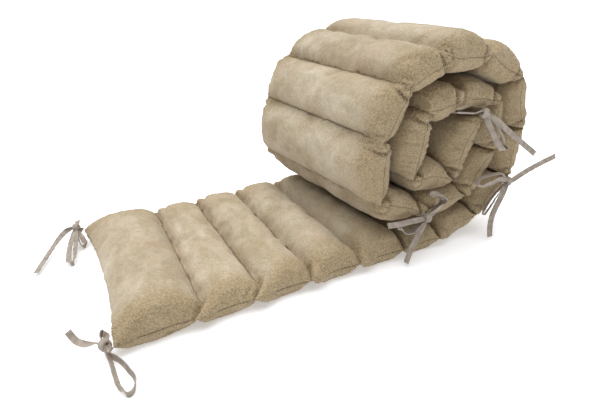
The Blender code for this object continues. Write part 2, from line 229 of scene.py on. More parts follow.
def mesh_of(name: str, points: np.ndarray, faces: Iterable[Sequence[int]]) -> bpy.types.Mesh:
    """Makes a mesh, shaded smooth.

    Args:
        name: Its name.
        points: Its points, one row each.
        faces: The numbers of each face's points.

    Returns:
        The mesh.
    """
    mesh = bpy.data.meshes.new(name)
    mesh.from_pydata(np.asarray(points, float).tolist(), [], [list(face) for face in faces])
    mesh.update()
    mesh.shade_smooth()
    return mesh


def vectors_of(items: bpy.types.bpy_prop_collection, name: str) -> np.ndarray:
    """Reads a vector that every item holds.

    Args:
        items: The items, such as a mesh's points.
        name: The vector's name.

    Returns:
        One row an item.
    """
    flat = np.empty(len(items) * 3)
    items.foreach_get(name, flat)
    return flat.reshape(-1, 3)


def points_of(mesh: bpy.types.Mesh) -> np.ndarray:
    """The mesh's points, one row each."""
    return vectors_of(mesh.vertices, "co")


def normals_of(mesh: bpy.types.Mesh) -> np.ndarray:
    """The normals at the mesh's points, one row each."""
    return vectors_of(mesh.vertex_normals, "vector")


def move_points(mesh: bpy.types.Mesh, points: np.ndarray) -> None:
    """Puts the mesh's points at these places."""
    mesh.vertices.foreach_set("co", points.ravel())
    mesh.update()


def read_attribute(mesh: bpy.types.Mesh, name: str) -> np.ndarray:
    """The values of a float attribute of the mesh's points.

    Args:
        mesh: The mesh.
        name: The attribute's name.

    Returns:
        One value a point.
    """
    values = np.empty(len(mesh.vertices), np.float32)
    mesh.attributes[name].data.foreach_get("value", values)
    return values.astype(float)


def write_attribute(mesh: bpy.types.Mesh, name: str, values: np.ndarray) -> None:
    """Stores one float a point in the mesh."""
    found = mesh.attributes.get(name) or mesh.attributes.new(name, "FLOAT", "POINT")
    found.data.foreach_set("value", np.ascontiguousarray(values, np.float32))


def write_coordinates(mesh: bpy.types.Mesh, places: np.ndarray, shift: float = 0.0) -> None:
    """Stores the cloth's flat coordinates, in metres, as the mesh's UV map.

    Args:
        mesh: The mesh.
        places: Where each of its points lies on the flat cloth.
        shift: Added across the cloth in the first half of the faces' corners.
    """
    corners = np.empty(len(mesh.loops), int)
    mesh.loops.foreach_get("vertex_index", corners)
    uv = places[corners]
    uv[: len(uv) // 2, 1] += shift
    mesh.uv_layers.new(name="cloth").data.foreach_set("uv", uv.ravel())


def evaluated_copy(obj: bpy.types.Object) -> bpy.types.Mesh:
    """A plain mesh of the object with its modifiers worked out."""
    graph = bpy.context.evaluated_depsgraph_get()
    return bpy.data.meshes.new_from_object(obj.evaluated_get(graph), depsgraph=graph)


class NodeWork:
    """A short way to add nodes to a tree."""

    def __init__(self, tree: bpy.types.NodeTree) -> None:
        """Works in this tree."""
        self.nodes = tree.nodes
        self.links = tree.links

    def add(self, kind: str, inputs: dict | None = None, **settings: object) -> bpy.types.Node:
        """Adds a node.

        Args:
            kind: Its type, such as "ShaderNodeMath".
            inputs: Values or sockets for its inputs, by name or number.
            **settings: Values of its properties.

        Returns:
            The node.
        """
        node = self.nodes.new(kind)
        for key, value in settings.items():
            setattr(node, key, value)
        for key, value in (inputs or {}).items():
            if isinstance(value, bpy.types.NodeSocket):
                self.links.new(value, node.inputs[key])
            else:
                node.inputs[key].default_value = value
        return node

    def math(self, operation: str, *values: object) -> bpy.types.NodeSocket:
        """The result of a Math node."""
        return self.add("ShaderNodeMath", dict(enumerate(values)), operation=operation).outputs[0]


class FabricTree(NodeWork):
    """The nodes of a material with one fabric shader."""

    def __init__(self, name: str) -> None:
        """Starts the material.

        Args:
            name: The material's name.
        """
        self.material = bpy.data.materials.new(name)
        self.material.use_nodes = True
        super().__init__(self.material.node_tree)
        self.shader = self.nodes["Principled BSDF"]

    def attribute(self, name: str) -> bpy.types.NodeSocket:
        """A float that the mesh holds at its points."""
        return self.add("ShaderNodeAttribute", attribute_name=name).outputs["Fac"]

    def noise(self, place: bpy.types.NodeSocket, size: float, detail: float = 2.0,
              distortion: float = 0.0) -> bpy.types.NodeSocket:
        """Noise from 0 to 1 whose blobs are about this size, in metres."""
        wanted = {"Vector": place, "Scale": 1 / size, "Detail": detail, "Distortion": distortion}
        return self.add("ShaderNodeTexNoise", wanted).outputs["Fac"]

    def between(self, value: object, low: float, high: float) -> bpy.types.NodeSocket:
        """0 where the value is low or less, 1 where it is high or more, smooth in between."""
        limits = {"Value": value, "From Min": low, "From Max": high}
        return self.add("ShaderNodeMapRange", limits, interpolation_type="SMOOTHSTEP").outputs["Result"]

    def mixed(self, share: object, a: object, b: object) -> bpy.types.NodeSocket:
        """A colour between two others.

        Args:
            share: 0 for a alone to 1 for b alone.
            a: A colour or a socket.
            b: The other one.

        Returns:
            The colour's socket.
        """
        node = self.add("ShaderNodeMix", data_type="RGBA")
        for number, value in ((0, share), (6, a), (7, b)):
            if isinstance(value, bpy.types.NodeSocket):
                self.links.new(value, node.inputs[number])
            elif number:
                node.inputs[number].default_value = (*value, 1.0)
            else:
                node.inputs[number].default_value = value
        return node.outputs[2]

    def set(self, socket: Socket, value: object) -> None:
        """Sets a value of the fabric shader, or links a socket to it.

        Args:
            socket: Which of the shader's sockets.
            value: The value, or the socket to link.
        """
        target = self.shader.inputs[socket.value]
        if isinstance(value, bpy.types.NodeSocket):
            self.links.new(value, target)
        else:
            target.default_value = value

    def relief(self, height: bpy.types.NodeSocket, depth: float, strength: float) -> None:
        """Gives the fabric a fine relief.

        Args:
            height: Its height, from 0 to 1.
            depth: What a height of 1 stands for, in metres.
            strength: The share of it that shows.
        """
        inputs = {"Height": height, "Distance": depth, "Strength": strength}
        self.set(Socket.NORMAL, self.add("ShaderNodeBump", inputs).outputs["Normal"])


@dataclass(frozen=True)
class PlushFinish:
    """Short-pile velour: a brushed nap in soft patches, and open grain where the pile stands up, darker
    there partly as painted shade on the edges' side faces; painted shade also darkens the folds by the
    sewing.
    """

    light: Colour = (0.69, 0.61, 0.475)
    dark: Colour = (0.42, 0.34, 0.225)
    warm: Colour = (0.59, 0.46, 0.33)
    # the open pile's colour is darker partly as painted shade on the edges' side faces
    open_pile: Colour = (0.48, 0.37, 0.215)
    deep: Colour = (0.2, 0.145, 0.075)
    # the seams' own dark line, and painted shade for the folds beside the sewing
    seam_line_and_fold_shade: Colour = (0.07, 0.042, 0.017)
    line_half: float = 0.95 * MM  # half the width of the dark line that the sewing draws in
    line_share: float = 0.75
    nap_size: float = 95 * MM
    patch_size: float = 30 * MM
    tread_size: float = 9 * MM
    curl_size: float = 2.5 * MM
    fibre_size: float = 0.8 * MM
    curl_depth: float = 1.7 * MM
    stretch: tuple[float, float, float] = (1.0, 0.42, 1.0)  # the brush's strokes run across the strip
    warm_share: float = 0.5
    open_pile_shade_share: float = 0.82

    def brushed(self, tree: FabricTree, cloth: bpy.types.NodeSocket,
                tread: bpy.types.NodeSocket) -> bpy.types.NodeSocket:
        """The colour of the nap where it is brushed flat, light or dark by the way it lies.

        Args:
            tree: The material's nodes.
            cloth: The cloth's flat coordinates.
            tread: The noise of small touches.

        Returns:
            The colour's socket.
        """
        strokes = tree.add("ShaderNodeVectorMath", {0: cloth, 1: self.stretch}, operation="MULTIPLY")
        nap = tree.between(tree.noise(strokes.outputs[0], self.nap_size, 4.0, 1.4), 0.42, 0.6)
        patch = tree.between(tree.noise(strokes.outputs[0], self.patch_size, 4.0, 1.8), 0.38, 0.62)
        way = tree.math("MULTIPLY_ADD", nap, 0.4, tree.math("MULTIPLY_ADD", patch, 0.3, 0.06))
        way = tree.math("MULTIPLY_ADD", tree.between(tread, 0.35, 0.65), 0.2, way)
        blush = tree.between(tree.noise(cloth, 0.5 * self.nap_size, 3.0, 1.0), 0.45, 0.7)
        colour = tree.mixed(way, self.dark, self.light)
        return tree.mixed(tree.math("MULTIPLY", blush, self.warm_share), colour, self.warm)

    def sewn_line(self, tree: FabricTree, tread: bpy.types.NodeSocket) -> bpy.types.NodeSocket:
        """How far each place is darkened by a channel seam, or by the edge's line, which comes and goes.

        Args:
            tree: The material's nodes.
            tread: The noise of small touches.

        Returns:
            The share of the dark colour.
        """
        seam = tree.between(tree.attribute("from_seam"), 2 * self.line_half, 0.2 * self.line_half)
        edge = tree.between(tree.attribute("from_rim"), 1.6 * self.line_half, 0.3 * self.line_half)
        edge = tree.math("MULTIPLY", edge, tree.between(tread, 0.1, 0.4))
        line = tree.math("MAXIMUM", tree.math("MULTIPLY", seam, 0.85), edge)
        return tree.math("MULTIPLY", line, self.line_share)

    def material(self) -> bpy.types.Material:
        """Builds the material: the nap on the cloth's flat coordinates, the pile on the object's own.

        Returns:
            The material.
        """
        tree = FabricTree("plush")
        cloth = tree.add("ShaderNodeUVMap", uv_map="cloth").outputs["UV"]
        place = tree.add("ShaderNodeTexCoord").outputs["Object"]
        upright = tree.attribute("upright")
        tread = tree.noise(place, self.tread_size, 3.0, 0.5)
        curl = tree.noise(place, self.curl_size, 4.0)
        fibre = tree.noise(place, self.fibre_size, 2.0)

        colour = self.brushed(tree, cloth, tread)
        # partly painted shade: the darker open pile along the edges and beside the seams stands in for
        # shade on faces turned from the light
        colour = tree.mixed(tree.math("MULTIPLY", upright, self.open_pile_shade_share), colour, self.open_pile)
        gaps = tree.math("MULTIPLY", tree.between(curl, 0.66, 0.32),
                         tree.math("MULTIPLY_ADD", upright, 0.42, 0.2))
        colour = tree.mixed(gaps, colour, self.deep)
        colour = tree.mixed(tree.math("MULTIPLY", tree.between(fibre, 0.58, 0.28), 0.3), colour, self.deep)
        # painted shade from the "sewn" marks, in the folds beside the seams, lumps and lobes and along the
        # rim
        colour = tree.mixed(tree.attribute("sewn"), colour, self.seam_line_and_fold_shade)
        tree.set(Socket.COLOUR, tree.mixed(self.sewn_line(tree, tread), colour, self.seam_line_and_fold_shade))

        height = tree.math("MULTIPLY", curl, tree.math("MULTIPLY_ADD", upright, 0.8, 0.2))
        tree.relief(tree.math("MULTIPLY_ADD", fibre, 0.3, height), self.curl_depth, 0.8)
        tree.set(Socket.ROUGHNESS, 0.95)
        tree.set(Socket.SPECULAR, 0.1)
        tree.set(Socket.SHEEN, 0.24)
        tree.set(Socket.SHEEN_ROUGHNESS, 0.5)
        tree.set(Socket.SHEEN_TINT, (1.0, 0.96, 0.9, 1.0))
        return tree.material

    def pile_material(self) -> bpy.types.Material:
        """Builds the material of the single tufts where the pile stands open, with painted shade at each
        tuft's base.

        Returns:
            The material.
        """
        tree = FabricTree("open_pile")
        place = tree.add("ShaderNodeTexCoord").outputs["Object"]
        curl = tree.between(tree.noise(place, self.curl_size, 3.0), 0.35, 0.8)
        top = tree.mixed(0.5, tree.mixed(curl, self.warm, self.light), self.open_pile)
        # painted shade: each tuft is darker at its base than at its tip
        root = tree.mixed(0.15, self.open_pile, self.warm)
        tree.set(Socket.COLOUR, tree.mixed(tree.attribute("tip"), root, top))
        tree.set(Socket.ROUGHNESS, 0.95)
        tree.set(Socket.SPECULAR, 0.05)
        tree.set(Socket.SHEEN, 0.3)
        return tree.material


@dataclass(frozen=True)
class ThreadFinish:
    """The sewing thread, a shade darker than the cloth, with a fine twist."""

    colour: Colour = (0.33, 0.25, 0.16)
    shade: Colour = (0.2, 0.145, 0.085)
    twist: float = 0.45 * MM
    depth: float = 0.1 * MM

    def material(self) -> bpy.types.Material:
        """Builds the material.

        Returns:
            The material.
        """
        tree = FabricTree("thread")
        strands = tree.noise(tree.add("ShaderNodeTexCoord").outputs["Object"], self.twist, 2.0, 0.5)
        tree.set(Socket.COLOUR, tree.mixed(tree.between(strands, 0.35, 0.65), self.shade, self.colour))
        tree.relief(strands, self.depth, 0.5)
        tree.set(Socket.ROUGHNESS, 0.7)
        tree.set(Socket.SPECULAR, 0.25)
        tree.set(Socket.SHEEN, 0.1)
        return tree.material


@dataclass(frozen=True)
class TapeFinish:
    """Flat cotton tape: a fine weave of nearly two ribs a millimetre, and soft clouds of colour."""

    light: Colour = (0.46, 0.395, 0.335)
    dark: Colour = (0.31, 0.262, 0.215)
    rib: float = 0.55 * MM
    cloud: float = 9 * MM
    depth: float = 0.12 * MM

    def material(self) -> bpy.types.Material:
        """Builds the material, on the tape's own coordinates: metres along it and across it.

        Returns:
            The material.
        """
        tree = FabricTree("cotton_tape")
        place = tree.add("ShaderNodeUVMap", uv_map="cloth").outputs["UV"]
        parts = tree.add("ShaderNodeSeparateXYZ", {0: place}).outputs
        turns = 2 * np.pi / self.rib
        along, across = (tree.math("SINE", tree.math("MULTIPLY", part, turns)) for part in parts[:2])
        weave = tree.math("MULTIPLY_ADD", tree.math("MULTIPLY", along, across), 0.5, 0.5)
        cloudy = tree.between(tree.noise(place, self.cloud, 3.0), 0.3, 0.7)
        colour = tree.mixed(cloudy, self.dark, self.light)
        tree.set(Socket.COLOUR, tree.mixed(tree.math("MULTIPLY", weave, 0.25), colour, self.dark))
        tree.relief(weave, self.depth, 0.6)
        tree.set(Socket.ROUGHNESS, 0.85)
        tree.set(Socket.SPECULAR, 0.2)
        tree.set(Socket.SHEEN, 0.15)
        return tree.material


@dataclass(frozen=True)
class ClothPlaces:
    """Where the points of the strip lie on its cloths, one value a point, in metres. The ways from the
    rim and from the nearest channel seam are measured over the cloth."""

    along: np.ndarray
    across: np.ndarray
    side: np.ndarray
    from_rim: np.ndarray
    from_seam: np.ndarray
    seam: np.ndarray
    past_seam: np.ndarray

    @property
    def near(self) -> np.ndarray:
        """Whether each point lies in the nearer half of the strip."""
        return self.across < WIDTH / 2

    @property
    def from_edge(self) -> np.ndarray:
        """The distance from the nearer long edge."""
        return np.minimum(self.across, WIDTH - self.across)

    @property
    def flat(self) -> np.ndarray:
        """Flat places in which the outer cloth is set off from the inner one."""
        return np.stack([self.along, self.across + np.where(self.side > 0, 0, 2 * WIDTH)], axis=1)

    @property
    def rolled(self) -> np.ndarray:
        """0 on the flat part and 1 in the roll, with a blend between them."""
        return share_rolled(self.along)

    @property
    def in_roll(self) -> np.ndarray:
        """Whether each point lies in the roll."""
        return self.rolled > 0.5

    def either(self, sizes: tuple[float, float]) -> np.ndarray:
        """The first size on the flat part and the second in the roll."""
        return np.where(self.in_roll, sizes[1], sizes[0])


class Crease(NamedTuple):
    """A soft fold in the cloth, in millimetres: where it starts and ends, measured along the cloth from
    the flat end's edge and across it from the near edge, with its depth and half width."""

    start_along: float
    start_across: float
    end_along: float
    end_across: float
    depth: float
    half_width: float
    side: Side

    def pressed(self, at: ClothPlaces) -> np.ndarray:
        """How deep the crease presses the cloth, with a low ridge on either side of it.

        Args:
            at: Where the points lie.

        Returns:
            One depth a point, in metres.
        """
        start = np.array([self.start_along, self.start_across]) * MM
        way = np.array([self.end_along, self.end_across]) * MM - start
        place = np.stack([at.along, at.across], axis=1) - start
        share = np.clip(place @ way / (way @ way), 0, 1)
        apart = np.linalg.norm(place - share[:, None] * way, axis=1) / (self.half_width * MM)
        here = np.where(at.side * self.side.value > 0, 1.0, 0.0) * (0.35 + 0.65 * np.sin(np.pi * share))
        return self.depth * MM * here * (hump(apart, 1) - 0.45 * hump(apart - 1.9, 1))


CREASES = (
    Crease(1034, 84, 1057, 12, 2.4, 6, Side.OUTER),
    Crease(1045, 60, 1060, 40, 1.5, 4, Side.OUTER),
    Crease(180, 122, 206, 96, 1.5, 4, Side.INNER),
    Crease(186, 96, 200, 84, 1.0, 3, Side.INNER),
    Crease(4, 6, 40, 34, 1.6, 4, Side.INNER),
    Crease(3, 12, 22, 46, 1.3, 4, Side.INNER),
    Crease(6, 292, 44, 262, 1.6, 4, Side.INNER),
    Crease(978, 30, 950, 8, 1.8, 4, Side.OUTER),
)


class Lobe(NamedTuple):
    """A raised or sunken place in the cloth beside a seam's end, in the cloth's own scale there: its
    height, how far past the seam it lies and its spread."""

    height: float
    place: float
    spread: float

    def shape(self, past: np.ndarray) -> np.ndarray:
        """Its height at these distances past the seam."""
        return self.height * np.exp(-((past - self.place) ** 2) / self.spread)


LOBE = Lobe(3.6, 8, 16)
SECOND_LOBE = Lobe(2.6, 23, 14)  # in the roll only
VALLEY = Lobe(4.2, 15.5, 8)
VALLEY_BEFORE = Lobe(1.8, -12, 12)


@dataclass(frozen=True)
class Gathers:
    """What the sewing does to the filled cloth: its waves, ribs, lobes, lumps, bulges and bent seams. A
    pair of sizes is the one on the flat part and the one in the roll."""

    slack: Waviness = Waviness(0.6 * MM, 45 * MM, 110 * MM, 11)  # over the crowns
    slack_start: float = 20 * MM
    ripple: Waviness = Waviness(1.3 * MM, 9 * MM, 24 * MM, 12)  # along a channel seam
    stray: Waviness = Waviness(0.65 * MM, 9 * MM, 40 * MM, 15)  # of a channel seam from its line
    stray_start: float = 6 * MM
    seam_reach: float = 12 * MM  # how far from a channel seam the cloth is drawn in
    seam_groove: float = 3 * MM
    gather: Waviness = Waviness(0.9 * MM, 11 * MM, 26 * MM, 13)  # along the edge
    gather_stretch: tuple[float, float] = (1, 0.22)  # its waves run in from the edge
    gather_reach: float = 15 * MM
    calm_rim: float = 7 * MM  # nearer to the rim the cloth keeps its shape
    rib: float = 1.1 * MM  # the fan of ribs on the roll's inner turn
    rib_pitch: float = 8 * MM
    rib_bend: float = 9 * MM
    rib_reach: float = 26 * MM
    inner_turn: float = 1480 * MM  # where along the cloth that turn starts
    inner_blend: float = 30 * MM
    lobe_reach: float = 19 * MM
    lobe_scales: tuple[float, float] = (1.3 * MM, 1.0 * MM)
    lobes_below: float = 0.2  # the share of the lobes that shows on the flat part's under side
    lobed_seams: tuple[tuple[int, float], ...] = ((0, 0.0), (1, 1.0), (5, 1.0), (6, 0.4), (11, 0.4),
                                                  (12, 1.0), (24, 1.0))
    lumped_seams: tuple[int, int] = (12, 14)
    lump: float = 7 * MM
    lump_place: tuple[float, float] = (-2 * MM, 8 * MM)  # past the seam and from the near edge
    lump_spread: tuple[float, float] = (6 * MM, 15 * MM)
    lump_twist: float = 2.2 * MM
    twist_pitch: float = 8 * MM
    sewn_reach: float = 3.5 * MM  # nearer to the rim the sewing holds the cloth flat
    bulge_reach: float = 20 * MM
    inner_bulge: tuple[float, float] = (1.0 * MM, 0.3 * MM)
    outer_bulge: tuple[float, float] = (1.3 * MM, 0.5 * MM)
    bulge_start: float = 8 * MM  # how far from the flat end the long edges start to bulge
    knob: float = 4.2 * MM  # how far a channel's near end stands out past the edge
    knob_place: float = 14 * MM
    knob_spread: float = 12 * MM
    knob_reach: float = 9 * MM
    end_bulge: float = 2.5 * MM
    end_depth: float = 30 * MM
    end_corner: float = 15 * MM
    hook: float = 9  # how far a seam's very end turns back, in millimetres
    hook_back: Lobe = Lobe(3, 20, 60)  # how far it sways the other way a little further in
    hook_reach: float = 8 * MM
    hook_spread: float = 28 * MM
    hooked_seams: tuple[tuple[int, float], ...] = ((0, 0.0), (1, 1.0), (2, 1.0), (3, 0.5), (4, 0.3),
                                                   (5, 0.3), (6, 0.0))

    def lift(self, at: ClothPlaces) -> np.ndarray:
        """How far the waves, ribs, lobes and lumps raise the cloth, less its creases.

        Args:
            at: Where the points lie.

        Returns:
            One height a point, in metres, along its normal.
        """
        by_seam, by_edge = at.from_seam, at.from_edge
        off_rim = 1 - hump(at.from_rim, self.calm_rim)
        lift = self.slack.over(at.flat) * np.clip(by_seam / self.slack_start, 0, 1)
        line = np.stack([at.flat[:, 1], 7.3 * at.seam + np.sign(at.past_seam)], axis=1)
        near_seam = fading(by_seam, self.seam_reach) * (1 - fading(by_seam, self.seam_groove))
        lift += self.ripple.over(line) * near_seam
        gathers = self.gather.over(at.flat * self.gather_stretch)
        lift += gathers * fading(by_edge, self.gather_reach) * off_rim
        ribs = np.sin(at.along * 2 * np.pi / self.rib_pitch + 1.5 * np.sin(at.across / self.rib_bend))
        inner_turn = np.clip((at.along - self.inner_turn) / self.inner_blend, 0, 1)
        lift += self.rib * inner_turn * ribs * hump(by_edge, self.rib_reach) * off_rim
        lift += self.lobes(at, off_rim)
        twist = self.lump_twist * np.cos(at.across * 2 * np.pi / self.twist_pitch)
        lift += self.roped(at) * (self.lump - twist)
        for crease in CREASES:
            lift -= crease.pressed(at)
        return lift

    def lobes(self, at: ClothPlaces, off_rim: np.ndarray) -> np.ndarray:
        """How far the lobes and valleys beside the seams' ends raise the cloth.

        Args:
            at: Where the points lie.
            off_rim: 0 at the rim, to 1 where the cloth moves freely.

        Returns:
            One height a point, in metres.
        """
        past = at.past_seam / at.either(self.lobe_scales)
        raised = LOBE.shape(past) + at.rolled * SECOND_LOBE.shape(past)
        sunken = (VALLEY.shape(past) + VALLEY_BEFORE.shape(past)) * off_rim
        lobes = (raised - sunken) * (0.85 + 0.3 * np.sin(2.7 * at.seam + at.side))
        lobes *= np.interp(at.seam, *zip(*self.lobed_seams))
        lobes *= np.where((at.side > 0) | at.in_roll, 1.0, self.lobes_below)
        return MM * hump(at.from_edge, self.lobe_reach) * lobes

    def roped(self, at: ClothPlaces) -> np.ndarray:
        """How much of a twisted lump each point is part of, where a seam of the roll's outside ends.

        Args:
            at: Where the points lie.

        Returns:
            One share a point.
        """
        first, last = self.lumped_seams
        ends = (at.side < 0) & (at.seam >= first) & (at.seam <= last) & at.near
        past = (at.past_seam - self.lump_place[0]) / self.lump_spread[0]
        across = (at.across - self.lump_place[1]) / self.lump_spread[1]
        return ends * np.exp(-(past**2 + across**2))

    def strayed(self, at: ClothPlaces) -> np.ndarray:
        """How far the cloth at a channel seam strays from the seam's straight line.

        Args:
            at: Where the points lie.

        Returns:
            One distance a point, in metres.
        """
        line = np.stack([at.flat[:, 1], 31 * at.seam], axis=1)
        strayed = self.stray.over(line) * hump(at.from_seam, self.seam_reach)
        strayed *= np.clip(at.from_edge / self.stray_start, 0, 1)
        return strayed * (at.seam > 0) * (at.seam < len(SEAMS) - 1)

    def bulge(self, at: ClothPlaces) -> tuple[np.ndarray, np.ndarray]:
        """How far the filling presses the cloths out past the edge's sewn line.

        Args:
            at: Where the points lie.

        Returns:
            The distance outwards from the strip's long edges and from its flat end.
        """
        shape = (1 - hump(at.from_rim, self.sewn_reach)) * hump(at.from_rim, self.bulge_reach)
        sideways = np.where(at.side > 0, at.either(self.inner_bulge), at.either(self.outer_bulge))
        sideways *= shape * (at.along > self.bulge_start)
        sideways *= 1 - 0.5 * fading(at.from_seam, self.seam_reach)
        near = hump(at.from_edge, self.knob_reach) * at.near * (1 - 0.8 * at.rolled) * (at.seam > 0)
        sideways += near * self.knob * hump(at.past_seam - self.knob_place, self.knob_spread)
        endways = self.end_bulge * shape * (at.along < self.end_depth)
        return sideways, endways * np.clip(at.from_edge / self.end_corner, 0, 1)

    def hooked(self, at: ClothPlaces) -> np.ndarray:
        """How far the near ends of the flat part's seams turn back towards the flat end.

        Args:
            at: Where the points lie.

        Returns:
            One distance a point, in metres.
        """
        share = np.interp(at.seam, *zip(*self.hooked_seams), left=0, right=0)
        turn = self.hook * hump(at.across, self.hook_reach) - self.hook_back.shape(at.across / MM)
        return MM * share * turn * hump(at.past_seam, self.hook_spread)


@dataclass(frozen=True)
class Marks:
    """What the finish reads at the cloth's points, painted shade among them."""

    seam_shade: float = 0.22
    seam_shade_width: float = 2 * MM
    lump_folds: tuple[tuple[float, float], ...] = ((8.5 * MM, 0.85), (-9.5 * MM, 0.6))  # place and shade
    lump_fold_width: float = 1.6 * MM
    lobe_fold: float = 15.5 * MM  # how far past a seam of the roll the fold beside its lobe lies
    lobe_fold_shade: float = 0.8
    lobe_fold_width: float = 2.4 * MM
    lobe_fold_reach: float = 16 * MM
    rim_shade: float = 0.1
    rim_shade_width: float = 1.6 * MM
    edge_gap: float = 4.0  # in millimetres, where the near edge's line is lost past a seam
    edge_gap_place: float = 13 * MM
    edge_gap_width: float = 9 * MM
    edge_gap_in_roll: float = 0.4
    # the finish darkens the open pile, partly as painted shade on the edges' side faces
    open_reach: float = 36 * MM  # the pile stands open this near to an edge
    open_by_seam: float = 0.25
    open_by_seam_reach: float = 14 * MM
    open_patches: Waviness = Waviness(0.16, 30 * MM, 80 * MM, 14)
    open_everywhere: float = 0.06

    def read(self, at: ClothPlaces, roped: np.ndarray) -> dict[str, np.ndarray]:
        """Works the marks out.

        Args:
            at: Where the points lie.
            roped: How much of a twisted lump each point is part of.

        Returns:
            By name: "sewn", the painted shade of the folds beside the sewing; "from_seam" and "from_rim",
                with
            more added where no line shows; and "upright", how far the pile stands up, which the finish also
            uses for painted shade along the edges.
        """
        # painted shade: darker in the folds beside the seams, lumps and lobes and along the rim
        shade = self.seam_shade * hump(at.from_seam, self.seam_shade_width)
        for place, share in self.lump_folds:
            turned = hump(at.past_seam - place, self.lump_fold_width)
            shade = np.maximum(shade, share * turned * np.clip(2.2 * roped**0.35, 0, 1))
        fold = hump(at.past_seam - self.lobe_fold, self.lobe_fold_width)
        fold *= self.lobe_fold_shade * (hump(at.from_edge, self.lobe_fold_reach) * at.rolled)
        shade = np.maximum(shade, fold)
        shade = np.maximum(shade, self.rim_shade * hump(at.from_rim, self.rim_shade_width))
        unsewn = 9 * (at.seam < 1) + 9 * (at.seam > len(SEAMS) - 2) + 3 * MM * roped
        gap = self.edge_gap * hump(at.past_seam - self.edge_gap_place, self.edge_gap_width)
        hidden = gap * (1 - at.rolled) + self.edge_gap_in_roll * at.rolled
        upright = hump(at.from_edge, self.open_reach)
        upright += self.open_by_seam * fading(at.from_seam, self.open_by_seam_reach)
        upright += self.open_patches.over(at.flat) + self.open_everywhere
        return {
            "sewn": shade,
            "from_seam": at.from_seam + unsewn,
            "from_rim": at.from_rim + hidden * MM * at.near,
            "upright": np.clip(upright, 0, 1),
        }


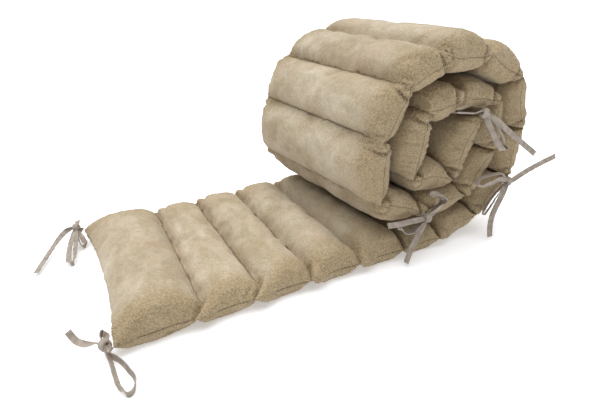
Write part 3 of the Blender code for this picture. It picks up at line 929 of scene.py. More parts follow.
@dataclass
class Strip:
    """The padded strip: two cloths sewn together round the edge and along the channel seams, and filled."""

    seam_half: float = 1.8 * MM
    layer_gap: float = 0.9 * MM
    highest: float = 60 * MM  # more than any channel rises from its chord
    near_rounding: float = 36 * MM
    far_rounding: float = 60 * MM
    squareness: float = 2.4  # of the channels' sections and ends, where 2 is round
    edge_draw: float = 2 * MM
    end_draw: float = 10 * MM
    hook_reach: float = 9 * MM
    channel_columns: int = 16
    rows: int = 60
    slackness: float = 0.93  # the crowns before the filling swells them, as a share of the full ones
    swelling_frames: int = 20
    most_swelling: float = 7 * MM
    rim_share: float = 0.62  # how far in the roll the rim lies up the inner cloth's side
    rim_depth: float = 0.1 * MM
    still_height: float = 6 * MM  # nearer to the surface that it lies on the cloth isn't gathered
    seam_sharpness: float = 0.7
    on_line: float = 0.05 * MM  # nearer than this a point lies on a sewn line
    gathers: Gathers = field(default_factory=Gathers)
    marks: Marks = field(default_factory=Marks)
    finish: PlushFinish = field(default_factory=PlushFinish)

    def steps(self) -> np.ndarray:
        """The columns' places in one channel, as shares of its chord, without its end."""
        return eased(self.channel_columns, 0.5)[:-1]

    def corners(self, y: float) -> np.ndarray:
        """Works out one section of the strip.

        Args:
            y: Its distance from the near edge.

        Returns:
            The seams' (x, z) in it.
        """
        table = np.array(SEAMS) * MM
        across = y / WIDTH
        x = table[:, 0] + table[:, 2] * across + table[:, 3] * (1 - np.exp(-y / self.hook_reach))
        drawn = self.end_draw * (1 - abs(2 * across - 1) ** 2.5)
        x[0] += drawn
        corners = np.stack([x, table[:, 1]], axis=1)
        corners[-1] += unit(corners[-2] - corners[-1]) * drawn
        return corners

    def room(self, bases: np.ndarray, normals: np.ndarray, corners: np.ndarray,
             own: np.ndarray) -> np.ndarray:
        """How far a cloth can rise from each base point before it is nearer to another channel.

        Args:
            bases: Points on the chords.
            normals: The ways the cloth rises from them.
            corners: The seams of the section.
            own: The number of each point's channel.

        Returns:
            The greatest height at each base point, in metres.
        """
        heights = np.linspace(0, self.highest, 60)
        points = bases[:, None] + heights[:, None] * normals[:, None]
        starts = corners[:-1]
        chords = corners[1:] - starts
        offsets = points[:, :, None] - starts
        share = np.clip((offsets * chords).sum(-1) / (chords**2).sum(-1), 0, 1)
        distance = np.linalg.norm(offsets - share[..., None] * chords, axis=-1)
        distance[np.arange(len(bases)), :, own] = np.inf
        spare = self.layer_gap * np.minimum(1, heights / self.seam_half)
        free = distance.min(axis=-1) >= heights + spare
        blocked = np.where(free.all(axis=1), len(heights), np.argmin(free, axis=1))
        return heights[np.maximum(blocked - 1, 0)]

    def taper(self, y: float) -> float:
        """The share of its full height that a channel has at one place across the strip.

        Args:
            y: The distance from the near edge.

        Returns:
            The share, 0 at both edges.
        """
        near = np.clip(1 - y / self.near_rounding, 0, 1)
        far = np.clip(1 - (WIDTH - y) / self.far_rounding, 0, 1)
        return (1 - near**self.squareness) ** 0.5 * (1 - far**self.squareness) ** 0.5

    def grid(self, share: float) -> dict[str, np.ndarray]:
        """Works out the strip's sections.

        Args:
            share: The crowns' share of their full height.

        Returns:
            Arrays by name: "inner" and "outer" points, (rows, columns, 3), with the chords' "base" points
            and "normal", (rows, columns, 2), and the "inner_room" and "outer_room".
        """
        count = len(SEAMS) - 1
        steps = self.steps()
        step = np.append(np.tile(steps, count), 0.0)
        own = np.append(np.repeat(np.arange(count), len(steps)), count - 1)
        crowns = np.array(SEAMS)[own, 4:6] * MM * share
        puff = (1 - abs(2 * step - 1) ** self.squareness) ** 0.55
        pulled = self.edge_draw * np.sin(np.pi * step)
        found: dict[str, list] = {name: [] for name in
                                  ("inner", "outer", "base", "normal", "inner_room", "outer_room")}
        for y in WIDTH * eased(self.rows, 0.6):
            corners = self.corners(y)
            chords = corners[1:] - corners[:-1]
            bases = corners[own] + step[:, None] * chords[own]
            bases[-1] = corners[-1]
            ups = unit(np.stack([-chords[:, 1], chords[:, 0]], axis=1))
            normals = ups[own]
            normals[np.arange(1, count) * len(steps)] = unit(ups[:-1] + ups[1:])
            across = pulled + (WIDTH - 2 * pulled) * y / WIDTH - WIDTH / 2
            for side, crown in zip(Side, crowns.T):
                room = self.room(bases, side.value * normals, corners, own)
                wanted = np.maximum(crown * puff, 1e-6)
                height = (wanted**-5 + np.maximum(room, 1e-6) ** -5) ** -0.2  # the lesser, blended
                height = np.maximum(height, self.seam_half) * self.taper(y)
                height[[0, -1]] = 0
                line = bases + side.value * height[:, None] * normals
                line[:, 1] = np.maximum(line[:, 1], 0)
                name = side.name.lower()
                found[name].append(np.stack([line[:, 0] - MIDDLE, across, line[:, 1]], axis=1))
                found[name + "_room"].append(room)
            found["base"].append(bases - (MIDDLE, 0))
            found["normal"].append(normals)
        return {name: np.array(rows) for name, rows in found.items()}

    def numbering(self) -> dict[Side, np.ndarray]:
        """Numbers the grid points of the two cloths, which share the points of their rim.

        Returns:
            The points' numbers on each cloth, (rows, columns).
        """
        rows = self.rows + 1
        columns = self.channel_columns * (len(SEAMS) - 1) + 1
        inner = np.arange(rows * columns).reshape(rows, columns)
        outer = inner.copy()
        outer[1:-1, 1:-1] = rows * columns + np.arange((rows - 2) * (columns - 2)).reshape(rows - 2, -1)
        return {Side.INNER: inner, Side.OUTER: outer}

    def seams_along(self) -> np.ndarray:
        """How far along the cloth each seam lies, in the strip's middle section."""
        chords = np.diff(self.corners(WIDTH / 2), axis=0)
        return np.append(0, np.cumsum(np.linalg.norm(chords, axis=1)))

    def flat_places(self) -> tuple[np.ndarray, np.ndarray]:
        """Lays the cloth flat.

        Returns:
            How far along it and across it each grid point lies, in metres.
        """
        seams = self.seams_along()
        along = np.concatenate([a + (b - a) * self.steps() for a, b in zip(seams, seams[1:])])
        return np.meshgrid(np.append(along, seams[-1]), WIDTH * eased(self.rows, 0.6))

    def blank(self, grid: dict[str, np.ndarray]) -> bpy.types.Object:
        """Makes the strip before it is filled.

        Args:
            grid: Its sections.

        Returns:
            Its object, with the flat places of its points and a group of the sewn ones.
        """
        numbers = self.numbering()
        along, across = self.flat_places()
        total = numbers[Side.OUTER].max() + 1
        points, flat = np.empty((total, 3)), np.empty((total, 2))
        values = {name: np.empty(total) for name in ("along", "across", "side", "sewn")}
        faces = []
        sewn = np.zeros(along.shape)
        sewn[[0, -1]] = 1
        sewn[:, :: self.channel_columns] = 1
        for side in (Side.OUTER, Side.INNER):
            number = numbers[side]
            points[number] = grid[side.name.lower()]
            flat[number] = np.stack([along, across], axis=-1)
            for name, value in (("along", along), ("across", across), ("side", side.value), ("sewn", sewn)):
                values[name][number] = value
            quads = np.stack([number[:-1, :-1], number[:-1, 1:], number[1:, 1:], number[1:, :-1]], axis=-1)
            faces.append(quads.reshape(-1, 4)[:, :: side.value])
        mesh = mesh_of("padded_strip", points, np.vstack(faces))
        for name, value in values.items():
            write_attribute(mesh, name, value)
        write_coordinates(mesh, flat, 2 * WIDTH)
        self.write_creases(mesh, numbers)
        obj = place_object("padded_strip", mesh)
        group = obj.vertex_groups.new(name="held")
        group.add([int(i) for i in np.flatnonzero(values["sewn"])], 1.0, "REPLACE")
        return obj

    def write_creases(self, mesh: bpy.types.Mesh, numbers: dict[Side, np.ndarray]) -> None:
        """Keeps the channel seams sharp where the mesh is subdivided.

        Args:
            mesh: The strip's mesh.
            numbers: The numbers of its points on each cloth.
        """
        seams = np.zeros(len(mesh.vertices))
        for number in numbers.values():
            seams[number[:, self.channel_columns: -1: self.channel_columns]] = 1
        ends = np.empty(len(mesh.edges) * 2, int)
        mesh.edges.foreach_get("vertices", ends)
        held = seams[ends].reshape(-1, 2).min(axis=1)
        sharp = mesh.attributes.new("crease_edge", "FLOAT", "EDGE")
        sharp.data.foreach_set("value", (self.seam_sharpness * held).astype(np.float32))

    def swell(self, obj: bpy.types.Object) -> np.ndarray:
        """Lets the filling press the cloths out between their sewn lines, as a cloth simulation.

        Args:
            obj: The strip.

        Returns:
            The mesh's points after the simulation.
        """
        scene = bpy.context.scene
        cloth = obj.modifiers.new("filling", "CLOTH")
        settings = cloth.settings
        settings.quality = 5
        settings.mass = 0.2
        settings.tension_stiffness = 12
        settings.compression_stiffness = 6
        settings.shear_stiffness = 4
        settings.bending_stiffness = 0.4
        settings.use_pressure = True
        settings.uniform_pressure_force = 4
        settings.shrink_min = -0.018
        settings.vertex_group_mass = "held"
        settings.effector_weights.gravity = 0
        for frame in range(1, self.swelling_frames + 1):
            scene.frame_set(frame)
        swollen = points_of(obj.evaluated_get(bpy.context.evaluated_depsgraph_get()).data)
        obj.modifiers.remove(cloth)
        scene.frame_set(1)
        return swollen

    def held_back(self, before: np.ndarray, after: np.ndarray, grid: dict[str, np.ndarray]) -> np.ndarray:
        """Keeps the swelling short, out of the next layer and above the surface.

        Args:
            before: The points before the simulation.
            after: The points after it.
            grid: The strip's sections.

        Returns:
            The points in between.
        """
        moved = after - before
        length = np.linalg.norm(moved, axis=1, keepdims=True)
        moved *= np.minimum(1, self.most_swelling / np.maximum(length, 1e-9))
        points = before + moved
        for side, number in self.numbering().items():
            inside = number[1:-1, 1:-1]
            rise = points[inside][..., [0, 2]] - grid["base"][1:-1, 1:-1]
            normal = side.value * grid["normal"][1:-1, 1:-1]
            height = (rise * normal).sum(-1)
            room = grid[side.name.lower() + "_room"][1:-1, 1:-1]
            over = np.maximum(0, height - np.maximum(room, self.seam_half))
            points[inside[..., None], [0, 2]] -= over[..., None] * normal
        points[:, 2] = np.maximum(points[:, 2], 0)
        return points

    def settle_rim(self, points: np.ndarray) -> None:
        """Moves the rims of the long edges outwards, and in the roll towards the inner cloth.

        Args:
            points: The strip's points, changed in place.
        """
        numbers = self.numbering()
        inner, outer = numbers[Side.INNER], numbers[Side.OUTER]
        rolled = share_rolled(self.flat_places()[0][0])
        step = np.append(np.tile(self.steps(), len(SEAMS) - 1), 0.0)
        bowed = 1 - abs(2 * step - 1) ** 3
        for row, beside, out in ((0, 1, -1), (-1, -2, 1)):
            rise = points[inner[beside]][:, [0, 2]] - points[inner[row]][:, [0, 2]]
            points[inner[row][:, None], [0, 2]] += (self.rim_share * rolled * bowed)[:, None] * rise
            beside_it = (points[inner[beside], 1] + points[outer[beside], 1]) / 2
            filled = out * beside_it - self.rim_depth - out * points[inner[row], 1]
            points[inner[row], 1] += out * np.maximum(filled, 0) * bowed

    def write_runs(self, mesh: bpy.types.Mesh, points: np.ndarray) -> None:
        """Stores how far each point lies from the rim and from a channel seam, measured over the cloth.

        Args:
            mesh: The strip's mesh.
            points: Where its points lie now.
        """
        from_rim = np.full(len(points), np.inf)
        from_seam = np.zeros(len(points))
        for number in self.numbering().values():
            for lines in (number, number[::-1], number.T, number.T[::-1]):
                steps = np.linalg.norm(np.diff(points[lines], axis=0), axis=2)
                run = np.vstack([np.zeros(lines.shape[1]), np.cumsum(steps, axis=0)])
                from_rim[lines] = np.minimum(from_rim[lines], run)
            steps = np.linalg.norm(np.diff(points[number], axis=1), axis=2)
            run = np.hstack([np.zeros((len(number), 1)), np.cumsum(steps, axis=1)])
            seams = run[:, :: self.channel_columns]
            from_seam[number] = abs(run[:, :, None] - seams[:, None]).min(axis=2)
        write_attribute(mesh, "from_rim", from_rim)
        write_attribute(mesh, "from_seam", from_seam)

    def finer(self, obj: bpy.types.Object) -> bpy.types.Mesh:
        """Subdivides the strip once.

        Args:
            obj: The strip.

        Returns:
            The finer mesh.
        """
        subdivision = obj.modifiers.new("smooth", "SUBSURF")
        subdivision.levels = subdivision.render_levels = 1
        mesh = evaluated_copy(obj)
        obj.modifiers.remove(subdivision)
        return mesh

    def places(self, mesh: bpy.types.Mesh) -> ClothPlaces:
        """Reads where the mesh's points lie on the cloths.

        Args:
            mesh: The strip's mesh.

        Returns:
            The places.
        """
        names = ("along", "across", "side", "from_rim", "from_seam")
        along, across, side, from_rim, from_seam = (read_attribute(mesh, name) for name in names)
        seams = self.seams_along()
        seam = abs(along[:, None] - seams).argmin(axis=1)
        past_seam = np.sign(along - seams[seam]) * from_seam
        return ClothPlaces(along, across, side, from_rim, from_seam, seam, past_seam)

    def gathered(self, mesh: bpy.types.Mesh) -> None:
        """Adds the puckers, bulges and folds of the cloth, and the marks the finish reads from it, painted
        shade among them.

        Args:
            mesh: The filled strip's mesh, changed in place.
        """
        points, normals = points_of(mesh), normals_of(mesh)
        at = self.places(mesh)
        free = np.clip(points[:, 2] / self.still_height, 0, 1)
        points += (self.gathers.lift(at) * free)[:, None] * normals
        points += self.gathers.strayed(at)[:, None] * np.cross((0.0, 1.0, 0.0), normals)
        sideways, endways = self.gathers.bulge(at)
        points[:, 1] += np.where(at.near, -1, 1) * sideways
        points[:, 0] -= endways + self.gathers.hooked(at)
        points[:, 2] = np.maximum(points[:, 2], 0)
        move_points(mesh, points)
        # the marks hold painted shade: "sewn" darkens the folds, "upright" the edges' side faces
        for name, values in self.marks.read(at, self.gathers.roped(at)).items():
            write_attribute(mesh, name, values)

    def sewn_lines(self, mesh: bpy.types.Mesh) -> list[tuple[np.ndarray, np.ndarray]]:
        """Finds the lines of stitching: every channel seam on both cloths, and the edge.

        Args:
            mesh: The finished strip's mesh.

        Returns:
            The points along each line, and the cloth's normals there.
        """
        at = self.places(mesh)
        points, normals = points_of(mesh), normals_of(mesh)
        lines = []
        for seam in range(1, len(SEAMS) - 1):
            for side in Side:
                found = (at.seam == seam) & (at.from_seam < self.on_line) & (at.side * side.value > 0.5)
                lines.append((found & (at.from_edge > 1 * MM), at.across))
        lines.append((at.across < self.on_line, at.along))
        lines.append((WIDTH - at.across < self.on_line, at.along))
        lines.append((at.along < self.on_line, at.across))
        ordered = [np.flatnonzero(found)[np.argsort(run[found])] for found, run in lines]
        return [(points[line], normals[line]) for line in ordered]

    def build(self) -> bpy.types.Object:
        """Makes the strip, fills it and dresses it.

        Returns:
            The piece.
        """
        grid = self.grid(self.slackness)
        obj = self.blank(grid)
        points = points_of(obj.data)
        points = self.held_back(points, self.swell(obj), grid)
        self.settle_rim(points)
        self.write_runs(obj.data, points)
        move_points(obj.data, points)
        mesh = self.finer(obj)
        self.gathered(mesh)
        obj.data = mesh
        obj.vertex_groups.clear()
        mesh.shade_smooth()
        mesh.materials.clear()
        mesh.materials.append(self.finish.material())
        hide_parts("bumper_body")
        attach(obj, BODY)
        LOG.info("%s: %d faces", obj.name, len(mesh.polygons))
        return obj


class GeometryTree(NodeWork):
    """A Geometry Nodes tree with named inputs, which makes plain meshes."""

    def __init__(self, name: str, sizes: dict[str, float | int]) -> None:
        """Starts a tree.

        Args:
            name: The tree's name.
            sizes: Its named inputs and their values. A whole number makes an integer input.
        """
        self.tree = bpy.data.node_groups.new(name, "GeometryNodeTree")
        super().__init__(self.tree)
        self.sizes = sizes
        face = self.tree.interface
        face.new_socket("Geometry", in_out="INPUT", socket_type="NodeSocketGeometry")
        self.identifiers = {}
        for key, value in sizes.items():
            kind = "NodeSocketInt" if isinstance(value, int) else "NodeSocketFloat"
            self.identifiers[key] = face.new_socket(key, in_out="INPUT", socket_type=kind).identifier
        face.new_socket("Geometry", in_out="OUTPUT", socket_type="NodeSocketGeometry")
        self.inputs = self.nodes.new("NodeGroupInput").outputs
        self.output = self.nodes.new("NodeGroupOutput")

    def attribute(self, name: str, data_type: str = "FLOAT") -> bpy.types.NodeSocket:
        """A named attribute of the geometry."""
        return self.add("GeometryNodeInputNamedAttribute", {"Name": name}, data_type=data_type).outputs[0]

    def vector(self, x: object = 0.0, y: object = 0.0, z: object = 0.0) -> bpy.types.NodeSocket:
        """A vector of three values or sockets."""
        return self.add("ShaderNodeCombineXYZ", {0: x, 1: y, 2: z}).outputs[0]

    def finish(self, geometry: bpy.types.NodeSocket, material: bpy.types.Material) -> None:
        """Ends the tree in Realize Instances and Set Material.

        Args:
            geometry: What the tree makes.
            material: What it is made of.
        """
        real = self.add("GeometryNodeRealizeInstances", {"Geometry": geometry}).outputs["Geometry"]
        dressed = self.add("GeometryNodeSetMaterial", {"Geometry": real, "Material": material})
        self.links.new(dressed.outputs["Geometry"], self.output.inputs["Geometry"])

    def applied(self, name: str, mesh: bpy.types.Mesh) -> bpy.types.Object:
        """Runs the tree on a mesh.

        Args:
            name: The new object's name.
            mesh: What the tree works on.

        Returns:
            An object with the result as its plain mesh, with nothing below the surface it lies on.
        """
        carrier = place_object(name, mesh)
        modifier = carrier.modifiers.new("nodes", "NODES")
        modifier.node_group = self.tree
        for key, value in self.sizes.items():
            modifier[self.identifiers[key]] = value
        made = evaluated_copy(carrier)
        bpy.data.objects.remove(carrier)
        points = points_of(made)
        points[:, 2] = np.maximum(points[:, 2], 0)
        move_points(made, points)
        return place_object(name, made)


@dataclass
class Sewing:
    """The stitches that show: along every channel seam of both cloths, and round the edge's line."""

    pitch: float = 3.6 * MM
    stitch: float = 2.9 * MM
    thread: float = 0.55 * MM
    rise: float = 0.3 * MM
    wander: float = 0.12
    seed: int = 4
    finish: ThreadFinish = field(default_factory=ThreadFinish)

    def one_stitch(self, work: GeometryTree) -> bpy.types.NodeSocket:
        """Shapes a single stitch: a low arc of thread whose ends dip into the cloth.

        Args:
            work: The tree.

        Returns:
            The stitch's mesh.
        """
        size = work.inputs
        half = work.math("MULTIPLY", size["Stitch length"], 0.5)
        low = work.math("MULTIPLY", size["Thread"], -0.6)
        arc = work.add("GeometryNodeCurveQuadraticBezier", {
            "Resolution": 3,
            "Start": work.vector(x=work.math("MULTIPLY", half, -1.0), z=low),
            "Middle": work.vector(z=size["Rise"]),
            "End": work.vector(x=half, z=low),
        })
        radius = work.math("MULTIPLY", size["Thread"], 0.5)
        ring = work.add("GeometryNodeCurvePrimitiveCircle", {"Resolution": 5, "Radius": radius})
        swept = {"Curve": arc.outputs[0], "Profile Curve": ring.outputs[0], "Fill Caps": True}
        return work.add("GeometryNodeCurveToMesh", swept).outputs[0]

    def tree(self) -> GeometryTree:
        """Lays a stitch at every step of the lines, along them and flat on the cloth.

        Returns:
            The tree.
        """
        work = GeometryTree("stitches", {
            "Stitch pitch": self.pitch, "Stitch length": self.stitch, "Thread": self.thread,
            "Rise": self.rise, "Wander": self.wander, "Seed": self.seed,
        })
        size = work.inputs
        curve = work.add("GeometryNodeMeshToCurve", {"Mesh": size["Geometry"]}).outputs["Curve"]
        steps = work.add("GeometryNodeResampleCurve", {"Curve": curve, "Length": size["Stitch pitch"]},
                         mode="LENGTH")
        tangent = work.add("GeometryNodeInputTangent").outputs[0]
        normal = work.attribute("cloth_normal", "FLOAT_VECTOR")
        along = work.add("FunctionNodeAlignRotationToVector", {"Vector": tangent}, axis="X")
        upright = work.add("FunctionNodeAlignRotationToVector",
                           {"Rotation": along.outputs[0], "Vector": normal}, axis="Z", pivot_axis="X")
        least = work.math("MULTIPLY", size["Wander"], -1.0)
        chance = work.add("FunctionNodeRandomValue", {2: least, 3: size["Wander"], "Seed": size["Seed"]},
                          data_type="FLOAT")
        skew = work.vector(z=chance.outputs[1])
        turned = work.add("FunctionNodeRotateRotation",
                          {"Rotation": upright.outputs[0], "Rotate By": skew}, rotation_space="LOCAL")
        placed = work.add("GeometryNodeInstanceOnPoints",
                          {"Points": steps.outputs[0], "Instance": self.one_stitch(work),
                           "Rotation": turned.outputs[0]})
        work.finish(placed.outputs[0], self.finish.material())
        return work

    def build(self, lines: list[tuple[np.ndarray, np.ndarray]]) -> bpy.types.Object:
        """Sews along the lines.

        Args:
            lines: The points and the cloth's normals along each line.

        Returns:
            The piece.
        """
        mesh = bpy.data.meshes.new("sewn_lines")
        starts = np.cumsum([0] + [len(points) for points, _ in lines])
        edges = [(i, i + 1) for a, b in zip(starts, starts[1:]) for i in range(a, b - 1)]
        mesh.from_pydata(np.vstack([points for points, _ in lines]).tolist(), edges, [])
        normals = mesh.attributes.new("cloth_normal", "FLOAT_VECTOR", "POINT")
        normals.data.foreach_set("vector", np.vstack([way for _, way in lines]).ravel())
        obj = self.tree().applied("stitches", mesh)
        obj.data.shade_smooth()
        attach(obj, BODY)
        LOG.info("%s: %d faces", obj.name, len(obj.data.polygons))
        return obj


@dataclass
class OpenPile:
    """The tufts of pile that stand open along the strip's edges and blur its outline."""

    tufts: float = 180000.0  # on a square metre where the pile stands fully open
    height: float = 0.85 * MM
    width: float = 1.9 * MM
    lean: float = 0.55
    least_open: float = 0.4
    clear_of_sewing: float = 1.0 * MM
    smallest: float = 0.55  # the tufts' sizes, as shares of the height and width above
    largest: float = 1.25
    size_seed: int = 3
    seed: int = 9
    finish: PlushFinish = field(default_factory=PlushFinish)

    def roots(self, work: GeometryTree) -> tuple[bpy.types.NodeSocket, bpy.types.NodeSocket]:
        """Scatters points where the pile stands open, clear of the sewing.

        Args:
            work: The tree.

        Returns:
            The points, and the way each of them stands.
        """
        size = work.inputs
        openness = {"Value": work.attribute("upright"), "From Min": size["Least open"], "From Max": 1.0}
        share = work.add("ShaderNodeMapRange", openness).outputs[0]
        density = work.math("MULTIPLY", work.math("POWER", share, 2.0), size["Tufts a square metre"])
        scattered = work.add("GeometryNodeDistributePointsOnFaces",
                             {"Mesh": size["Geometry"], "Density": density, "Seed": size["Seed"]})
        runs = [work.attribute(name) for name in ("from_rim", "from_seam")]
        pressed = work.math("LESS_THAN", work.math("MINIMUM", *runs), size["Clear of the sewing"])
        kept = work.add("GeometryNodeDeleteGeometry",
                        {"Geometry": scattered.outputs["Points"], "Selection": pressed}, domain="POINT")
        return kept.outputs[0], scattered.outputs["Rotation"]

    def one_tuft(self, work: GeometryTree) -> bpy.types.NodeSocket:
        """Shapes a single tuft: a small open cone that knows its tip.

        Args:
            work: The tree.

        Returns:
            The tuft's mesh.
        """
        size = work.inputs
        radius = work.math("MULTIPLY", size["Tuft width"], 0.5)
        cone = work.add("GeometryNodeMeshCone",
                        {"Vertices": 4, "Side Segments": 1, "Radius Top": 0.0, "Radius Bottom": radius,
                         "Depth": size["Tuft height"]}, fill_type="NONE")
        place = work.add("GeometryNodeInputPosition").outputs[0]
        rise = work.add("ShaderNodeSeparateXYZ", {0: place}).outputs[2]
        tip = work.math("GREATER_THAN", rise, work.math("MULTIPLY", size["Tuft height"], 0.5))
        marked = {"Geometry": cone.outputs[0], "Name": "tip", "Value": tip}
        return work.add("GeometryNodeStoreNamedAttribute", marked, data_type="FLOAT").outputs[0]

    def tree(self) -> GeometryTree:
        """Sets small leaning tufts where the cloth's pile stands open.

        Returns:
            The tree.
        """
        work = GeometryTree("open_pile", {
            "Tufts a square metre": self.tufts, "Tuft height": self.height, "Tuft width": self.width,
            "Lean": self.lean, "Least open": self.least_open,
            "Clear of the sewing": self.clear_of_sewing, "Seed": self.seed,
        })
        points, standing = self.roots(work)
        tuft = self.one_tuft(work)
        lean = work.add("FunctionNodeRandomValue", data_type="FLOAT_VECTOR")
        for number, sign in ((0, -1.0), (1, 1.0)):
            reach = work.math("MULTIPLY", work.inputs["Lean"], sign)
            work.links.new(work.vector(reach, reach, 3.1 * sign), lean.inputs[number])
        turned = work.add("FunctionNodeRotateRotation",
                          {"Rotation": standing, "Rotate By": lean.outputs[0]}, rotation_space="LOCAL")
        size = work.add("FunctionNodeRandomValue",
                        {2: self.smallest, 3: self.largest, "Seed": self.size_seed}, data_type="FLOAT")
        placed = work.add("GeometryNodeInstanceOnPoints",
                          {"Points": points, "Instance": tuft, "Rotation": turned.outputs[0],
                           "Scale": size.outputs[1]})
        work.finish(placed.outputs[0], self.finish.pile_material())
        return work

    def build(self, cloth: bpy.types.Object) -> bpy.types.Object:
        """Grows the tufts on the padded strip.

        Args:
            cloth: The padded strip.

        Returns:
            The piece.
        """
        obj = self.tree().applied("open_pile", cloth.data.copy())
        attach(obj, BODY)
        LOG.info("%s: %d faces", obj.name, len(obj.data.polygons))
        return obj


class Bow(NamedTuple):
    """Two tapes sewn in at one corner, each with a loop or a folded end and a free end, and their knot.
    facing is the way their flat sides look where the turn is 0: along, out and up."""

    facing: tuple
    knot: tuple
    tapes: tuple


BOW_ON_THE_FLOOR_NEAR = Bow(
    facing=(-0.3, 0.75, 0.6),
    knot=(-7, -9, 0),
    tapes=(
        (
            (-2.6, 2.1, 0, 0), (-6.4, -9.5, 0.4, 10), (-5, 1, -4, 20), (0, 8, -7, 35), (5, 16, -8, 35),
            (10, 30, -9, 35), (14, 43, -11, 45), (13, 53, -11.5, 70), (9, 60, -12, 90), (4, 61, -12, 90),
            (0, 54, -12, 85), (-3, 42, -11, 85), (-4, 28, -10, 85), (-5, 12, -8, 85), (-6, 0, -4, 70),
            (-7.8, -8, -0.9, 60), (-13, -17, -2, 85), (-20, -23, -4, 70), (-28, -30, -6, 30),
            (-36, -38, -4, 10), (-42, -48, 4, 5),
        ),
        (
            (-2.5, 2, -1.6, 0), (-6.1, -7.6, 1.3, 10), (-4, -15, 5, 0), (-3, -21, 7, 40), (-6, -25, 6, 90),
            (-10, -20, 4, 60), (-8, -11, 1, 30), (-6, -2, -5, 20), (-4, 5, -9, 10),
        ),
    ),
)

BOW_ON_THE_FLOOR_FAR = Bow(
    facing=(-0.41, -0.8, 0.45),
    knot=(-9, 3, 5),
    tapes=(
        (
            (-0.9, 0.8, -0.7, 0), (-8.4, 2.5, 5.4, 0), (-11, -4, 3, 0), (-13, -24, -2, 0),
            (-17, -47, -7, -10), (-20, -67, -10, -30), (-24, -78, -11, -80), (-28, -69, -11, -30),
            (-26, -47, -8, -10), (-21, -25, -4, 0), (-14, -6, 2, 0), (-9.8, 4, 4.1, 0), (-19, 7, 4, 0),
            (-30, 2, 0, -5), (-41, -10, -5, -10), (-56, -40, -9, -5), (-72, -76, -12, -5),
        ),
        (
            (-2.5, 2, -1.6, 0), (-8.1, 4.4, 6.3, -20), (-10, -7, 0, -60), (-9, -20, -6, -50),
            (-7, -32, -11, -60), (-4, -34, -11, -60), (-2, -27, -9, -50), (-5, -13, -3, -60),
            (-9.6, 1.8, 3.5, -40), (-7, 10, 8, 0), (-5, 18, 10, 0),
        ),
    ),
)

BOW_WITH_HANGING_END = Bow(
    facing=(-0.41, 0.8, 0.45),
    knot=(-8, 7, -3),
    tapes=(
        (
            (-0.6, 1.2, 0, 0), (-7.4, 6.5, -2.6, 30), (-20, 8, 9, 40), (-33, 9, 16, 60), (-55, 10, 19, 65),
            (-73, 10, 17, 70), (-82, 11, 12, 90), (-73, 12, 6, 60), (-56, 13, 6, 40), (-34, 12, 8, 40),
            (-18, 9, 2, 40), (-8.8, 8, -3.9, 30), (3, 8, -2, 10), (17, 10, 5, 15), (36, 13, 13, 20),
            (56, 16, 20, 20), (76, 20, 27, 20),
        ),
        (
            (-1, 1.5, -1.6, 0), (-7.1, 8.4, -1.7, 30), (-19, 6, -11, 85), (-38, 6, -26, 85),
            (-51, 7, -44, 85), (-50, 10, -48, 85), (-34, 10, -27, 80), (-20, 9, -11, 60),
            (-8.6, 5.8, -4.5, 20), (-17, 11, -11, 10), (-24, 13, -22, 10), (-35, 15, -38, 10),
            (-41, 16, -51, 20), (-44, 18, -66, 15), (-43, 19, -80, 15), (-42, 20, -86, 10),
        ),
    ),
)

BOW_BETWEEN_THE_LAYERS = Bow(
    facing=(-0.41, 0.8, 0.45),
    knot=(6, 7, -6),
    tapes=(
        (
            (0, 1.5, 0, 0), (6.6, 6.5, -5.6, 40), (10, 11, 1, 55), (18, 14, 9, 60), (26, 15, 15, 65),
            (29, 15, 21, 80), (23, 14, 28, 80), (13, 12, 33, 85), (8, 8, 31, 90), (15, 5, 28, 85),
            (26, 5, 22, 80), (32, 5, 15, 80), (28, 5, 9, 65), (20, 5, 3, 60), (12, 5, -4, 60),
            (5.2, 8, -6.9, 40), (-8, 9, -4, 25), (-26, 11, -1, 25), (-48, 12, 1, 20), (-69, 12, 4, 10),
        ),
        (
            (0, 1.5, -1.6, 0), (6.9, 8.4, -4.7, 30), (-7, 8, -12, 60), (-16, 9, -17, 50),
            (-26, 10, -20, 40), (-36, 10, -16, 60), (-45, 9, -8, 90), (-37, 6, -7, 80), (-20, 6, -9, 80),
            (-4, 6, -8, 60), (5.4, 5.8, -7.5, 30), (-2, 10, -12, 10), (-10, 12, -22, 10),
            (-18, 13, -34, 10), (-25, 14, -45, 15), (-33, 15, -66, 40),
        ),
    ),
)

BOW_IN_THE_CORE = Bow(
    facing=(-0.41, 0.8, 0.45),
    knot=(-5, 6, 8),
    tapes=(
        (
            (0, 1.1, 0, 43), (-1, 3.4, 2.4, 35), (-4.4, 5.5, 8.4, 20), (1, 9, -5, 20), (8, 13, -19, 10),
            (17, 17, -35, 10), (27, 19, -46, 40), (35, 18, -50, 80), (38, 16, -46, 40), (33, 13, -33, 40),
            (24, 10, -17, 40), (11, 8, -3, 40), (-5.8, 7, 7.1, 20), (9, 15, -2, 10), (28, 22, -18, 5),
            (51, 30, -37, 5), (76, 38, -57, 5),
        ),
        (
            (-1, 1.1, 1.6, 43), (-2, 3.6, 4.4, 40), (-4.1, 7.4, 9.3, 40), (-14, 5, 11, 80),
            (-25, 5, 10, 85), (-41, 5, 13, 85), (-59, 5, 16, 85),
        ),
    ),
)


class Sewn(NamedTuple):
    """A bow's name, the seam it is sewn to, whether that is at the far edge, and its tapes' routes."""

    name: str
    seam: int
    far: bool
    bow: Bow


